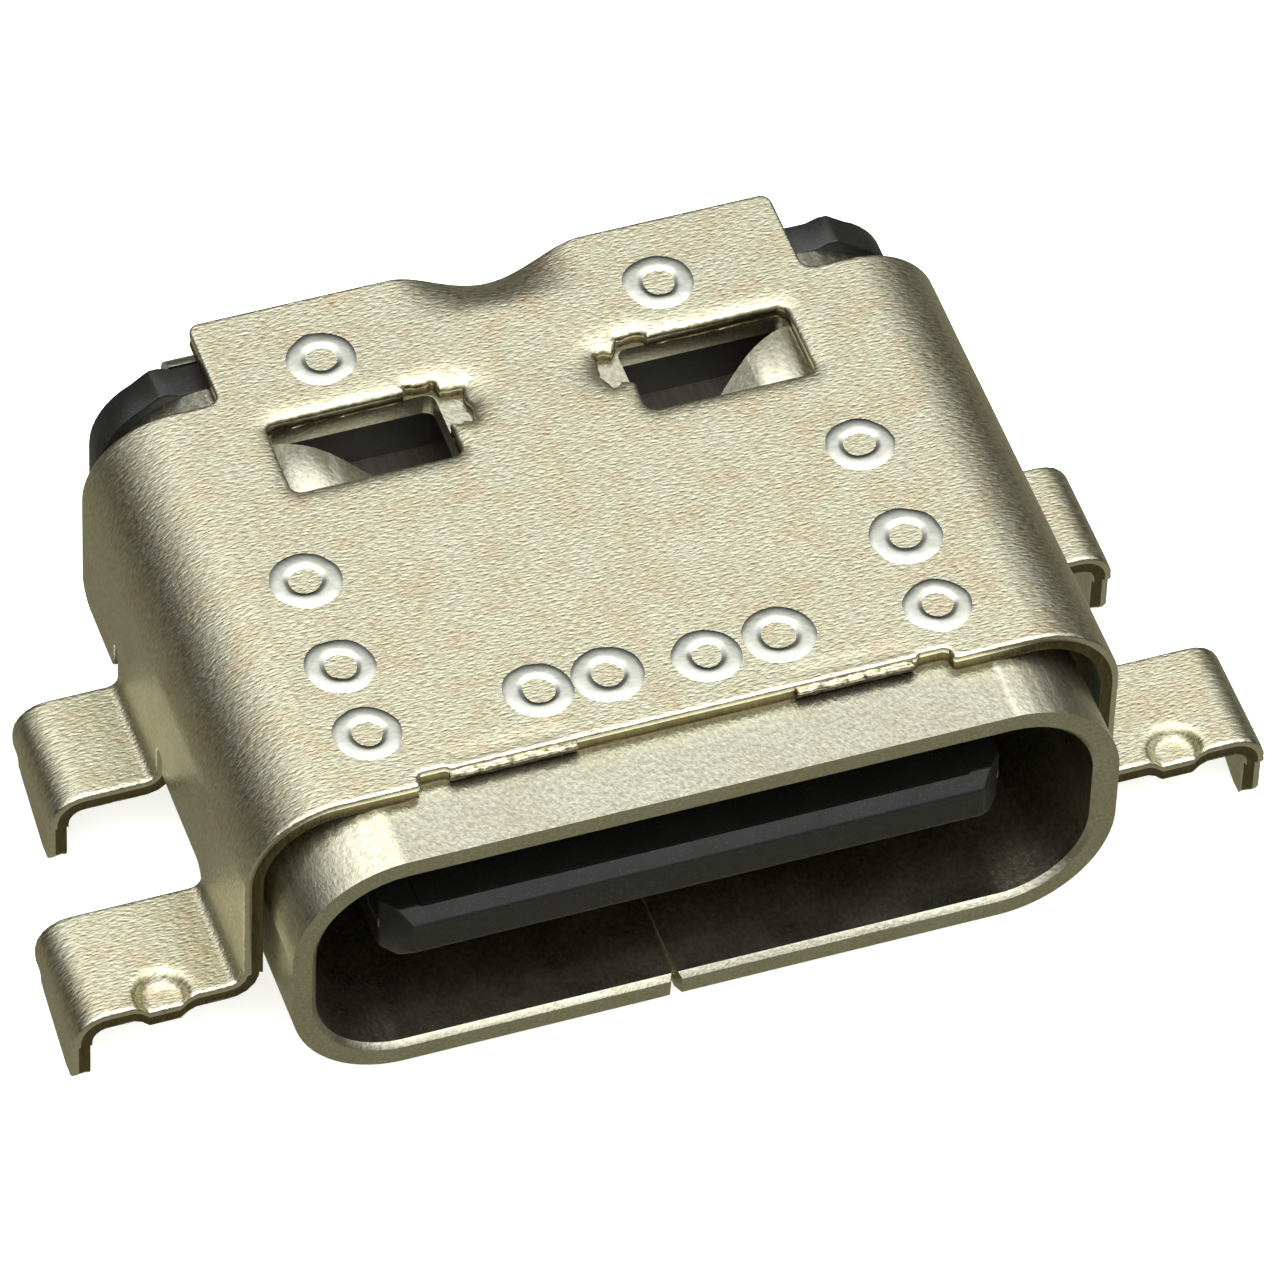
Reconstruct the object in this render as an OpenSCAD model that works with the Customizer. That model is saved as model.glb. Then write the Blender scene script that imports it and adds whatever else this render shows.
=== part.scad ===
// Reversible cable socket with two rows of contacts, for a cut-out in the edge of a board.
// A folded outer shell with four strap legs is spot welded on a folded mouth tube. The tube
// holds the black moulding, whose tongue carries a mid plate and two rows of twelve contacts.
// Origin: centre of the mouth's front rim. The mouth faces -Y and +Z is up. Millimetres.

/* [Mouth tube] */
// Width of the mouth opening
mouth_w = 8.34; // [6.9:0.02:10.1]
// Height of the mouth opening
mouth_h = 2.56; // [2.3:0.02:3.1]
// Corner radius of the mouth opening
mouth_r = 0.95; // [0.6:0.05:1.1]
// Thickness of the tube's sheet
tube_t = 0.27; // [0.2:0.01:0.33]
// Length of the tube from its rim to its rear edge
tube_len = 6.75; // [6.6:0.05:8.1]
// Lead-in chamfer inside the rim
rim_chamfer = 0.06; // [0.02:0.01:0.1]
// Width of the closing seam in the tube's floor
seam_w = 0.03; // [0.02:0.01:0.05]
// Sideways place of the seam
seam_x = -0.30; // [-1:0.05:1]

/* [Outer shell] */
// Thickness of the outer sheet
sheet = 0.20; // [0.15:0.01:0.25]
// Gap between the tube's side and the shell's side wall
side_gap = 0.06; // [0.02:0.01:0.1]
// Outside radius of the two long folds
fold_r = 1.0; // [0.8:0.05:1.2]
// Front edge of the shell at its corners, behind the rim
shell_front = 0.77; // [0.5:0.01:0.95]
// How much further back the edge lies between the corners
front_setback = 0.13; // [0.05:0.01:0.2]
// Half the length of that set-back edge
setback_half = 2.85; // [2.6:0.05:2.95]
// How far the side walls stop short of the tube's rear edge
wall_short = 0.39; // [0.15:0.01:0.45]
// How far the top plate's tab reaches behind the tube's rear edge
tab_over = 0.75; // [0.74:0.01:1.4]
// Half the width of the tab
tab_half = 3.2; // [2.9:0.05:3.4]
// Height of the walls' lower edge above the board plane, between the legs
wall_lift = 0.45; // [0.4:0.05:0.8]

/* [Legs] */
// Board plane, measured down from the mouth's centre
board_drop = 1.0; // [0.85:0.05:1.2]
// How far the pins reach below the board plane
pin_reach = 0.80; // [0.6:0.02:0.9]
// How far the front legs stand out from the side wall
front_leg_out = 1.78; // [1.5:0.02:2.1]
// How far the rear legs stand out from the side wall
rear_leg_out = 1.15; // [1:0.02:1.4]
// Width of a leg's strap along Y
strap_w = 1.38; // [1.3:0.02:1.56]
// Front edge of the front straps
front_strap_y = 0.88; // [0.85:0.01:1]
// Front edge of the rear straps
rear_strap_y = 3.75; // [3.2:0.05:3.9]
// Width of a pin along Y
pin_w = 1.10; // [0.9:0.05:1.2]
// How far a pin's front edge lies behind its strap's
pin_set = 0.07; // [0:0.01:0.1]
// Inside radius of the bend where a leg leaves the wall
root_r = 0.12; // [0.08:0.01:0.2]
// Inside radius of the bend from the strap to the pin
knee_r = 0.17; // [0.12:0.01:0.3]
// Radius of the half-pierced stop in a front leg
stop_r = 0.22; // [0.15:0.01:0.28]
// Depth to which that stop is pressed
stop_depth = 0.12; // [0.06:0.01:0.15]

/* [Windows and welds] */
// Inner end of a top window, from the centre line
window_in = 1.0; // [0.9:0.05:1.3]
// Outer end of a top window, from the centre line
window_out = 2.85; // [2.6:0.05:3]
// Front edge of the windows
window_front = 4.95; // [4.5:0.05:5]
// Rear edge of the windows
window_rear = 5.96; // [5.8:0.02:6]
// Radius of a weld spot
weld_r = 0.36; // [0.25:0.01:0.4]
// Depth of a weld spot's crater
weld_depth = 0.05; // [0.03:0.01:0.08]

/* [Tongue and contacts] */
// Pitch of the contacts
pitch = 0.5; // [0.42:0.01:0.6]
// Width of a contact on the tongue
pad_w = 0.25; // [0.2:0.01:0.3]
// Width of a contact's solder tail
tail_w = 0.2; // [0.16:0.01:0.24]
// Thickness of the contacts' sheet
contact_t = 0.12; // [0.1:0.01:0.15]
// Moulding beside the outermost contact on the tongue
tongue_edge = 0.47; // [0.42:0.01:0.56]
// Chamfer on the tongue's front corners, along X
tongue_corner = 0.27; // [0.1:0.01:0.3]
// Thickness of the tongue
tongue_t = 0.70; // [0.64:0.02:0.84]
// Front face of the tongue, behind the rim
tongue_front = 0.25; // [0.15:0.05:0.6]
// Front of the thick step at the tongue's root
step_front = 5.05; // [4.8:0.05:5.3]
// Thickness of that step
step_t = 1.0; // [0.9:0.02:1.2]
// Front of the block that fills the tube
block_front = 6.15; // [6.05:0.05:6.4]
// Length of the flange behind the tube
flange_len = 0.40; // [0.35:0.05:0.6]
// Thickness of the mid plate and its tails
mid_t = 0.12; // [0.08:0.01:0.15]
// Thickness of the ground plates
ground_t = 0.10; // [0.06:0.01:0.12]
// Clearance between the moulding and the tube
mould_gap = 0.02; // [0.01:0.01:0.05]

/* [Hidden] */
$fn = 64;

// mouth tube
tube_half_w = mouth_w / 2 + tube_t;
tube_half_h = mouth_h / 2 + tube_t;
tube_r = mouth_r + tube_t;
seam_notch = 0.14;
seam_depth = tube_t * 0.37;
flap_in = 1.25;
flap_out = 2.95;
flap_ear = 3.50;
flap_low = 0.70;
flap_gap = 0.02;
flap_r = 0.06;

// outer shell
shell_half = tube_half_w + side_gap + sheet;
plate_top = tube_half_h + sheet;
wall_rear = tube_len - wall_short;
tab_rear = tube_len + tab_over;
board_z = -board_drop;
wall_low = board_z + sheet + root_r;
lower_edge_z = board_z + wall_lift;
front_edge = shell_front + front_setback;
relief_w = 0.14;
relief_z = lower_edge_z + 0.25;
tab_corner_r = 0.12;
tab_root_r = 0.14;
scoop_x = 0.05;
scoop_start = tab_rear - 0.64;
scoop_depth = 0.24;
scoop_half = 0.95;
scoop_notch = 0.10;
stub_out = 0.08;
stub_top = 0.05;

// legs
pin_z = board_z - pin_reach;
front_shoulder_z = board_z - 0.24;
rear_shoulder_z = board_z - 0.34;
pin_slope = 0.33;
pin_flat = 0.22;
stop_cone = 0.10;

// windows and welds
window_r = 0.12;
throat_in = 0.70;
throat_front = 5.40;
bump_out = 1.32;
bump_rise = 0.08;
lobe_r = 3.30;
lobe_y = window_front - 2.20;
lobe_x = window_out + 1.22;
finger_in = 2.25;
finger_rise = 0.05;
finger_sag = 0.06;
finger_slot = 0.09;
ramp_in = 1.72;
ramp_drop = 0.26;
pip_r = 0.11;
weld_lip = 0.02;
welds = [
    [-3.11, 3.74], [-3.13, 2.53], [-3.15, 1.59], [2.92, 3.83], [2.94, 2.49], [2.93, 1.50],
    [-1.32, 1.62], [-0.58, 1.61], [0.46, 1.55], [1.25, 1.60],
    [-2.01, tube_len - 0.12], [1.68, tube_len - 0.13]
];

// tongue and contacts
tongue_half = (11 * pitch + pad_w) / 2 + tongue_edge;
insulator_half = tongue_half - tongue_edge + 0.08;
insulator_front = tongue_front + 0.15;
flange_rear = tube_len + flange_len;
pad_z = tongue_t / 2 - contact_t / 2;
nose_half = tongue_t / 2 - 0.15;
nose_len = 0.15;
corner_len = tongue_corner * 1.2;
long_tip = tongue_front + 0.50;
short_tip = tongue_front + 0.90;
neck_y = step_front + 0.15;
bend_in = 0.08;
upper_drop_y = flange_rear + 0.66;
lower_drop_y = flange_rear + 0.22;
upper_foot_y = upper_drop_y + 0.62;
lower_foot_y = lower_drop_y + 0.30;
latch_front = 2.6;
latch_rear = 3.6;
latch_depth = 0.27;
tail_out = tongue_half;
tail_in = tongue_half - 0.30;
plate_edge = 0.45;
step_half = insulator_half + plate_edge;
flange_half_w = tube_half_w - 0.06;
flange_half_h = tube_half_h;
flange_r = 0.85;
ear_peak = 3.68;
ear_rise = 0.05;
eps = 0.01;

// ---------- helpers ----------

// Draws its (x, z) outline from y0 to y1
module along_y(y0, y1) {
    translate([0, y1, 0]) rotate([90, 0, 0]) linear_extrude(y1 - y0) children();
}

// Draws its (y, z) outline from x0 to x1
module along_x(x0, x1) {
    translate([x0, 0, 0]) rotate([90, 0, 90]) linear_extrude(x1 - x0) children();
}

// Draws its (x, y) outline from z0 to z1
module along_z(z0, z1) {
    translate([0, 0, z0]) linear_extrude(z1 - z0) children();
}

module both_sides() {
    children();
    mirror([1, 0, 0]) children();
}

// Rectangle from a to b with rounded corners
module round_box(a, b, r) {
    translate([a[0] + r, a[1]]) square([b[0] - a[0] - 2 * r, b[1] - a[1]]);
    translate([a[0], a[1] + r]) square([b[0] - a[0], b[1] - a[1] - 2 * r]);
    for (x = [a[0] + r, b[0] - r], y = [a[1] + r, b[1] - r]) translate([x, y]) circle(r);
}

module plain_box(a, b) {
    translate(a) square([b[0] - a[0], b[1] - a[1]]);
}

// A quarter of a ring of sheet: centre, inside radius, thickness, and the quadrant's signs
module quarter_ring(centre, r, t, sx, sy) {
    translate(centre) intersection() {
        difference() {
            circle(r + t);
            circle(r);
        }
        translate([sx < 0 ? -r - t : 0, sy < 0 ? -r - t : 0]) square(r + t);
    }
}

// The waste between a square corner and a round one, as a fillet in an inner corner
module fillet(corner, r, sx, sy) {
    translate(corner) difference() {
        translate([sx < 0 ? -r : 0, sy < 0 ? -r : 0]) square(r);
        translate([sx * r, sy * r]) circle(r);
    }
}

// A strip that runs back at height z0, turns down at y1, and turns back again at height z1
module stepped_strip(y0, z0, y1, z1, y2, t, r) {
    plain_box([y0, z0 - t / 2], [y1 - t / 2 - r, z0 + t / 2]);
    quarter_ring([y1 - t / 2 - r, z0 - t / 2 - r], r, t, 1, 1);
    plain_box([y1 - t / 2, z1 + t / 2 + r], [y1 + t / 2, z0 - t / 2 - r]);
    quarter_ring([y1 + t / 2 + r, z1 + t / 2 + r], r, t, -1, -1);
    plain_box([y1 + t / 2 + r, z1 - t / 2], [y2, z1 + t / 2]);
}

// ---------- outer shell ----------

// Section across the shell, without its open lower side
module channel(half, top, r) {
    plain_box([-half, wall_low], [half, top - r]);
    plain_box([r - half, top - r - eps], [half - r, top]);
    for (s = [-1, 1]) translate([s * (half - r), top - r]) circle(r);
}

// The shell seen from above: walls, tab and the stepped front edge
module shell_plan() {
    difference() {
        union() {
            plain_box([-shell_half - 1, shell_front], [shell_half + 1, wall_rear]);
            round_box([-tab_half, wall_rear - 1], [tab_half, tab_rear], tab_corner_r);
            for (s = [-1, 1]) fillet([s * tab_half, wall_rear], tab_root_r, s, 1);
        }
        round_box([-setback_half, shell_front - 1], [setback_half, front_edge], 0.06);
        for (s = [-1, 1])
            round_box([s * (setback_half - 0.17) - 0.17, shell_front - 1],
                [s * (setback_half - 0.17) + 0.17, front_edge + 0.03], 0.1);
        translate([0, tab_rear - scoop_notch]) notch_arc();
    }
}

// The shallow arc that forming the scoop draws into the tab's rear edge
module notch_arc() {
    r = (scoop_half * scoop_half + scoop_notch * scoop_notch) / (2 * scoop_notch);
    translate([scoop_x, r]) circle(r, $fn = 128);
}

// What is cut out of the walls below their lower edge, seen from the side
module wall_waste() {
    low = wall_low - 1;
    front_end = front_strap_y + strap_w;
    rear_end = rear_strap_y + strap_w;
    plain_box([shell_front - 1, low], [front_strap_y, lower_edge_z - 0.06]);
    round_box([front_end, low], [rear_strap_y - relief_w, lower_edge_z], 0.15);
    round_box([rear_strap_y - relief_w, low], [rear_strap_y, relief_z], relief_w / 2 - eps);
    plain_box([rear_strap_y - relief_w - 0.2, low], [rear_strap_y, lower_edge_z - 0.15]);
    round_box([rear_end, low], [rear_end + relief_w, relief_z], relief_w / 2 - eps);
    fillet([wall_rear, wall_low], 0.3, -1, 1);
}

// Section along a leg, from the wall out to the pin
module leg_section(out) {
    knee_out = knee_r + sheet;
    plain_box([-sheet, wall_low - eps], [0, wall_low + 0.3]);
    quarter_ring([root_r, wall_low], root_r, sheet, -1, -1);
    plain_box([root_r - eps, board_z], [out - knee_out + eps, board_z + sheet]);
    quarter_ring([out - knee_out, board_z + sheet - knee_out], knee_r, sheet, 1, 1);
    plain_box([out - sheet, pin_z], [out, board_z + sheet - knee_out + eps]);
}

// What is cut off beside and below a pin, seen from the side, with the strap from y = 0
module pin_waste() {
    low = pin_z - 1;
    back = pin_set + pin_w;
    round_box([-1, low], [pin_set, front_shoulder_z], pin_set / 2);
    round_box([back, low], [strap_w + 1, rear_shoulder_z], 0.06);
    fillet([0, front_shoulder_z - eps], 0.05, 1, 1);
    fillet([strap_w, rear_shoulder_z - eps], 0.10, -1, 1);
    polygon([
        [back + eps, pin_z + pin_slope], [back + eps, low],
        [pin_set + pin_flat, low], [pin_set + pin_flat, pin_z]
    ]);
    polygon([
        [pin_set - eps, pin_z + 0.10], [pin_set - eps, low],
        [pin_set + 0.06, low], [pin_set + 0.06, pin_z]
    ]);
}

// One right-hand leg whose strap starts at y
module leg(y, out) {
    translate([shell_half, 0, 0]) difference() {
        along_y(y, y + strap_w) leg_section(out);
        translate([0, y, 0]) along_x(out - sheet - 0.05, out + 0.05) pin_waste();
    }
}

// Half-pierced stop, pressed down through the strap at its front edge
module stop_disc(r, low, high) {
    translate([shell_half + front_leg_out * 0.45, front_strap_y + 0.12, board_z + low])
        cylinder(r = r, h = high - low);
}

// The cone that the stop's punch draws into the strap's top
module stop_dimple() {
    deep = sheet - stop_depth;
    translate([shell_half + front_leg_out * 0.45, front_strap_y + 0.12, board_z + deep])
        cylinder(r1 = stop_r, r2 = stop_r + stop_cone * 1.05, h = stop_depth * 1.05);
}

module front_leg() {
    intersection() {
        difference() {
            union() {
                leg(front_strap_y, front_leg_out);
                stop_disc(stop_r + 0.03, -stop_depth, eps);
            }
            stop_dimple();
        }
        translate([0, front_strap_y, pin_z - 1]) cube([20, 20, 20]);
    }
}

// The trough pressed into the tab's rear edge: its inside, or with grow its outside
module scoop(grow) {
    tilt = atan2(scoop_depth, tab_rear - scoop_start);
    r = (scoop_half * scoop_half + scoop_depth * scoop_depth) / (2 * scoop_depth);
    translate([scoop_x, scoop_start, plate_top]) rotate([-tilt, 0, 0]) translate([0, -2, r])
        rotate([-90, 0, 0]) cylinder(r = r + grow, h = 5, $fn = 128);
}

// One window with its throat towards the centre and the bump in its rear edge
module window_plan() {
    round_box([window_in, window_front], [window_out, window_rear], window_r);
    round_box([throat_in, throat_front], [window_in + 0.2, window_rear - 0.03], 0.05);
    round_box([window_in, window_rear - 0.2], [bump_out, window_rear + bump_rise], 0.07);
}

// Half a section of the ring that a weld spot throws up, with its central pip
module weld_ring() {
    rotate_extrude() polygon([
        [weld_r - 0.04, -weld_depth], [weld_r + 0.05, -weld_depth],
        [weld_r + 0.05, 0], [weld_r + 0.01, weld_lip], [weld_r - 0.03, weld_lip * 0.7]
    ]);
    rotate_extrude() polygon([
        [0, -weld_depth * 2], [pip_r * 1.6, -weld_depth * 1.6], [pip_r * 1.5, -weld_depth],
        [pip_r * 0.6, -weld_depth * 0.4], [0, -weld_depth * 0.1]
    ]);
}

// The crater of a weld spot
module weld_crater() {
    r = (weld_r * weld_r + weld_depth * weld_depth) / (2 * weld_depth);
    translate([0, 0, r - weld_depth]) sphere(r, $fn = 96);
}

// Torn end of the carrier strip on the front edge, from x0 to x1
module carrier_stub(x0, x1) {
    y = front_edge - stub_out;
    mid = plate_top - sheet * 0.55;
    top = plate_top - stub_top;
    along_x(x0, x1) polygon([
        [front_edge + eps, tube_half_h + eps], [y + 0.05, tube_half_h + 0.02], [y + 0.02, mid],
        [y, top - 0.02], [y + 0.03, top], [front_edge - 0.02, top - 0.02], [front_edge + eps, plate_top - 0.01]
    ]);
}

module outer_shell() {
    color("#a39d86") {
        difference() {
            union() {
                intersection() {
                    difference() {
                        along_y(shell_front, tab_rear) channel(shell_half, plate_top, fold_r);
                        along_y(shell_front - 1, tab_rear + 1) translate([0, -eps])
                            channel(shell_half - sheet, plate_top - sheet + eps, fold_r - sheet);
                        both_sides() along_x(tube_half_w - 0.5, shell_half + 1) wall_waste();
                    }
                    along_z(wall_low - 1, plate_top + 1) shell_plan();
                }
                intersection() {
                    scoop(sheet);
                    translate([-scoop_half - 0.6, scoop_start - 0.3, tube_half_h - 0.3])
                        cube([2 * scoop_half + 1.2, 5, sheet + 0.3]);
                    along_z(tube_half_h - 1, plate_top + 1) shell_plan();
                }
                both_sides() front_leg();
                both_sides() leg(rear_strap_y, rear_leg_out);
                carrier_stub(-2.50, -1.15);
                carrier_stub(1.20, 2.45);
            }
            scoop(0);
            both_sides() along_z(tube_half_h - 0.5, plate_top + 1) window_plan();
            for (w = welds) translate([w[0], w[1], plate_top]) weld_crater();
        }
        for (w = welds) translate([w[0], w[1], plate_top]) weld_ring();
    }
}

// ---------- mouth tube ----------

// The flared entry of the mouth: corner cones and edge wedges, widest at the rim
module rim_flare() {
    w = mouth_w / 2 - mouth_r;
    h = mouth_h / 2 - mouth_r;
    c = rim_chamfer;
    for (x = [-w, w], z = [-h, h])
        translate([x, 0, z]) rotate([-90, 0, 0])
            translate([0, 0, -c]) cylinder(r1 = mouth_r + 2 * c, r2 = mouth_r, h = 2 * c);
    along_x(-w, w) polygon([
        [-c, -mouth_h / 2 - 2 * c], [c, -mouth_h / 2], [c, mouth_h / 2], [-c, mouth_h / 2 + 2 * c]
    ]);
    along_z(-h, h) polygon([
        [-mouth_w / 2 - 2 * c, -c], [-mouth_w / 2, c], [mouth_w / 2, c], [mouth_w / 2 + 2 * c, -c]
    ]);
}

// Section down a rear flap: back over the moulding, then down behind it
module flap_section() {
    z = tube_half_h - tube_t;
    y = flange_rear + flap_gap;
    plain_box([tube_len - 0.2, z], [y - flap_r, tube_half_h]);
    quarter_ring([y - flap_r, z - flap_r], flap_r, tube_t, 1, 1);
    plain_box([y, flap_low], [y + tube_t, z - flap_r]);
}

// A flap seen from above, with an ear behind the flange when it has one
module flap_plan(ear) {
    plain_box([flap_in, tube_len - 0.2], [flap_out, flange_rear + 2]);
    if (ear)
        plain_box([flap_in, flange_rear + flap_gap], [flap_ear, flange_rear + 2]);
}

// Outline of the finger and its ramp, seen from above
module window_lobe() {
    translate([lobe_x, lobe_y]) circle(lobe_r, $fn = 128);
}

// The raised spring finger that stands in the window's outer front corner
module finger() {
    half = (window_out - finger_in) / 2;
    r = (half * half + finger_sag * finger_sag) / (2 * finger_sag);
    intersection() {
        along_y(window_front + finger_slot, window_rear) difference() {
            translate([finger_in + half, tube_half_h + finger_rise - r]) circle(r, $fn = 128);
            translate([finger_in + half, tube_half_h + finger_rise - r]) circle(r - tube_t, $fn = 128);
        }
        along_z(mouth_h / 2 - 0.2, tube_half_h + 0.2) intersection() {
            window_lobe();
            plain_box([finger_in, window_front], [window_out + 0.05, window_rear]);
        }
    }
}

// The ramp beside the finger, bent down into the tube
module finger_ramp() {
    low = tube_half_h - ramp_drop;
    intersection() {
        along_y(window_front - 0.05, window_rear) polygon([
            [finger_in + 0.02, tube_half_h], [ramp_in, low],
            [ramp_in, low - tube_t * 0.6], [finger_in + 0.02, tube_half_h - tube_t]
        ]);
        along_z(mouth_h / 2 - 0.5, tube_half_h + 0.2) window_lobe();
    }
}

module inner_shell() {
    color("#b9b6a4") {
        difference() {
            union() {
                along_y(0, tube_len)
                    round_box([-tube_half_w, -tube_half_h], [tube_half_w, tube_half_h], tube_r);
                for (side = [0, 1]) mirror([side, 0, 0]) intersection() {
                    along_x(flap_in - 1, flap_ear + 1) flap_section();
                    along_z(flap_low - 1, tube_half_h + 1) flap_plan(side == 1);
                }
            }
            along_y(-1, tube_len + eps)
                round_box([-mouth_w / 2, -mouth_h / 2], [mouth_w / 2, mouth_h / 2], mouth_r);
            rim_flare();
            both_sides() along_z(mouth_h / 2 - 0.5, tube_half_h + 1)
                round_box([window_in, window_front], [window_out, window_rear + 0.04], window_r);
            along_y(-1, tube_len + 1)
                for (z = [-tube_half_h - 1, -mouth_h / 2 - seam_depth])
                    plain_box([seam_x - seam_w / 2, z], [seam_x + seam_w / 2, z + 1 + seam_depth]);
            along_z(-tube_half_h - 1, 0) polygon([
                [seam_x - seam_notch / 2, -1], [seam_x - seam_notch / 2, -eps],
                [seam_x, seam_notch], [seam_x + seam_notch / 2, -eps], [seam_x + seam_notch / 2, -1]
            ]);
        }
        both_sides() {
            finger();
            finger_ramp();
        }
    }
}

// ---------- moulding ----------

// Space that both insulators take together
module insulator_space() {
    along_z(-tongue_t / 2 - 1, tongue_t / 2 + 1)
        plain_box([-insulator_half, insulator_front], [insulator_half, flange_rear + 1]);
}

module mid_outline(rear) {
    difference() {
        plain_box([-tongue_half, tongue_front + corner_len], [tongue_half, rear]);
        for (s = [-1, 1]) translate([s * tongue_half, 0])
            round_box([-latch_depth, latch_front], [latch_depth, latch_rear], 0.1);
    }
}

// Rear flange: low in the middle for the flaps, with a small peak at each upper corner
module flange_section() {
    difference() {
        union() {
            round_box([-flange_half_w, -flange_half_h], [flange_half_w, flange_half_h], flange_r);
            both_sides() polygon([
                [ear_peak - 0.22, flange_half_h - eps], [ear_peak - 0.05, flange_half_h + ear_rise],
                [ear_peak + 0.05, flange_half_h + ear_rise], [ear_peak + 0.25, flange_half_h - 0.1]
            ]);
        }
        plain_box([-flap_out - 0.02, mouth_h / 2 - mould_gap], [flap_out + 0.02, flange_half_h + 1]);
    }
}

// Outline of the tongue seen from above, with chamfered front corners
module tongue_plan() {
    polygon([
        [-tongue_half + tongue_corner, tongue_front], [tongue_half - tongue_corner, tongue_front],
        [tongue_half, tongue_front + corner_len], [tongue_half, block_front + eps],
        [-tongue_half, block_front + eps], [-tongue_half, tongue_front + corner_len]
    ]);
}

module tongue_overmould() {
    color("#1b1b1a") difference() {
        union() {
            intersection() {
                along_x(-tongue_half, tongue_half) polygon([
                    [tongue_front, -nose_half], [tongue_front + nose_len, -tongue_t / 2],
                    [block_front + eps, -tongue_t / 2], [block_front + eps, tongue_t / 2],
                    [tongue_front + nose_len, tongue_t / 2], [tongue_front, nose_half]
                ]);
                along_z(-tongue_t, tongue_t) tongue_plan();
            }
            along_y(step_front, block_front + eps)
                plain_box([-step_half, -step_t / 2], [step_half, step_t / 2]);
            along_y(block_front, tube_len) round_box(
                [-mouth_w / 2 + mould_gap, -mouth_h / 2 + mould_gap],
                [mouth_w / 2 - mould_gap, mouth_h / 2 - mould_gap], mouth_r - mould_gap);
            along_y(tube_len, flange_rear) flange_section();
        }
        intersection() {
            insulator_space();
            along_x(-insulator_half, insulator_half) {
                plain_box([0, -tongue_t / 2 - 1], [step_front, tongue_t / 2 + 1]);
                plain_box([step_front, -step_t / 2], [flange_rear + 1, step_t / 2]);
            }
        }
        along_z(-mid_t / 2, mid_t / 2) mid_outline(flange_rear + 1);
        for (s = [-1, 1]) translate([s * tongue_half, 0, 0]) along_z(-tongue_t, tongue_t)
            round_box([-latch_depth, latch_front], [latch_depth, latch_rear], 0.1);
    }
}

// The upper insulator; the lower one is its mirror image
module insulator() {
    color("#20201f") difference() {
        along_x(-insulator_half, insulator_half) {
            plain_box([insulator_front, mid_t / 2], [step_front + eps, tongue_t / 2]);
            plain_box([step_front, mid_t / 2], [flange_rear, step_t / 2]);
        }
        for (i = [1:12]) contact_slot(i);
    }
}

// ---------- contacts ----------

function contact_x(i) = (i - 6.5) * pitch;
function is_long(i) = i == 1 || i == 4 || i == 9 || i == 12;
function tip_y(i) = is_long(i) ? long_tip : short_tip;

module contact_slot(i) {
    x = contact_x(i);
    translate([x, 0, 0]) {
        along_x(-pad_w / 2, pad_w / 2)
            plain_box([tip_y(i), pad_z - contact_t / 2], [neck_y, pad_z + contact_t / 2]);
        along_x(-tail_w / 2, tail_w / 2)
            plain_box([neck_y - eps, pad_z - contact_t / 2], [flange_rear + 1, pad_z + contact_t / 2]);
    }
}

// One contact of the upper or the lower row, counted from the left
module contact(i, upper) {
    x = contact_x(i);
    z = upper ? pad_z : -pad_z;
    drop_y = upper ? upper_drop_y : lower_drop_y;
    foot_y = upper ? upper_foot_y : lower_foot_y;
    color("#c9a24a") translate([x, 0, 0]) {
        along_x(-pad_w / 2, pad_w / 2)
            plain_box([tip_y(i), z - contact_t / 2], [neck_y, z + contact_t / 2]);
        along_x(-tail_w / 2, tail_w / 2)
            stepped_strip(neck_y - eps, z, drop_y, board_z + contact_t / 2, foot_y, contact_t, bend_in);
    }
}

// ---------- plates ----------

module mid_plate() {
    color("#b0aea6") {
        along_z(-mid_t / 2, mid_t / 2) mid_outline(flange_rear);
        both_sides() along_x(tail_in, tail_out)
            stepped_strip(flange_rear - 0.2, 0, upper_drop_y, board_z + mid_t / 2, upper_foot_y, mid_t, bend_in);
    }
}

// The upper ground plate: a cap over the step, turned down at both sides
module ground_plate() {
    color("#b7b4aa") along_y(step_front + 0.07, block_front) {
        plain_box([-step_half - ground_t, step_t / 2], [step_half + ground_t, step_t / 2 + ground_t]);
        for (s = [-1, 1])
            plain_box([s * (step_half + ground_t / 2) - ground_t / 2, step_t / 2 - 0.25],
                [s * (step_half + ground_t / 2) + ground_t / 2, step_t / 2 + eps]);
    }
}

outer_shell();
inner_shell();
tongue_overmould();
insulator();  // upper_insulator
mirror([0, 0, 1]) insulator();  // lower_insulator
mid_plate();
ground_plate();  // upper_ground_plate
mirror([0, 0, 1]) ground_plate();  // lower_ground_plate
for (i = [1:12]) contact(i, true);
for (i = [1:12]) contact(13 - i, false);
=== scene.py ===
"""Looks of a board-mounted cable socket: plated steel shell and tube, black moulding, contacts.

Run as a script. Every size is in metres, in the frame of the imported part: the mouth's rim
centre is the origin, the mouth faces -Y and +Z is up.
"""
import math

import bmesh
import bpy
import numpy as np
from bpy.props import FloatProperty, FloatVectorProperty, PointerProperty, StringProperty
from mathutils import Matrix, Vector, noise
from mathutils.geometry import delaunay_2d_cdt


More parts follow.
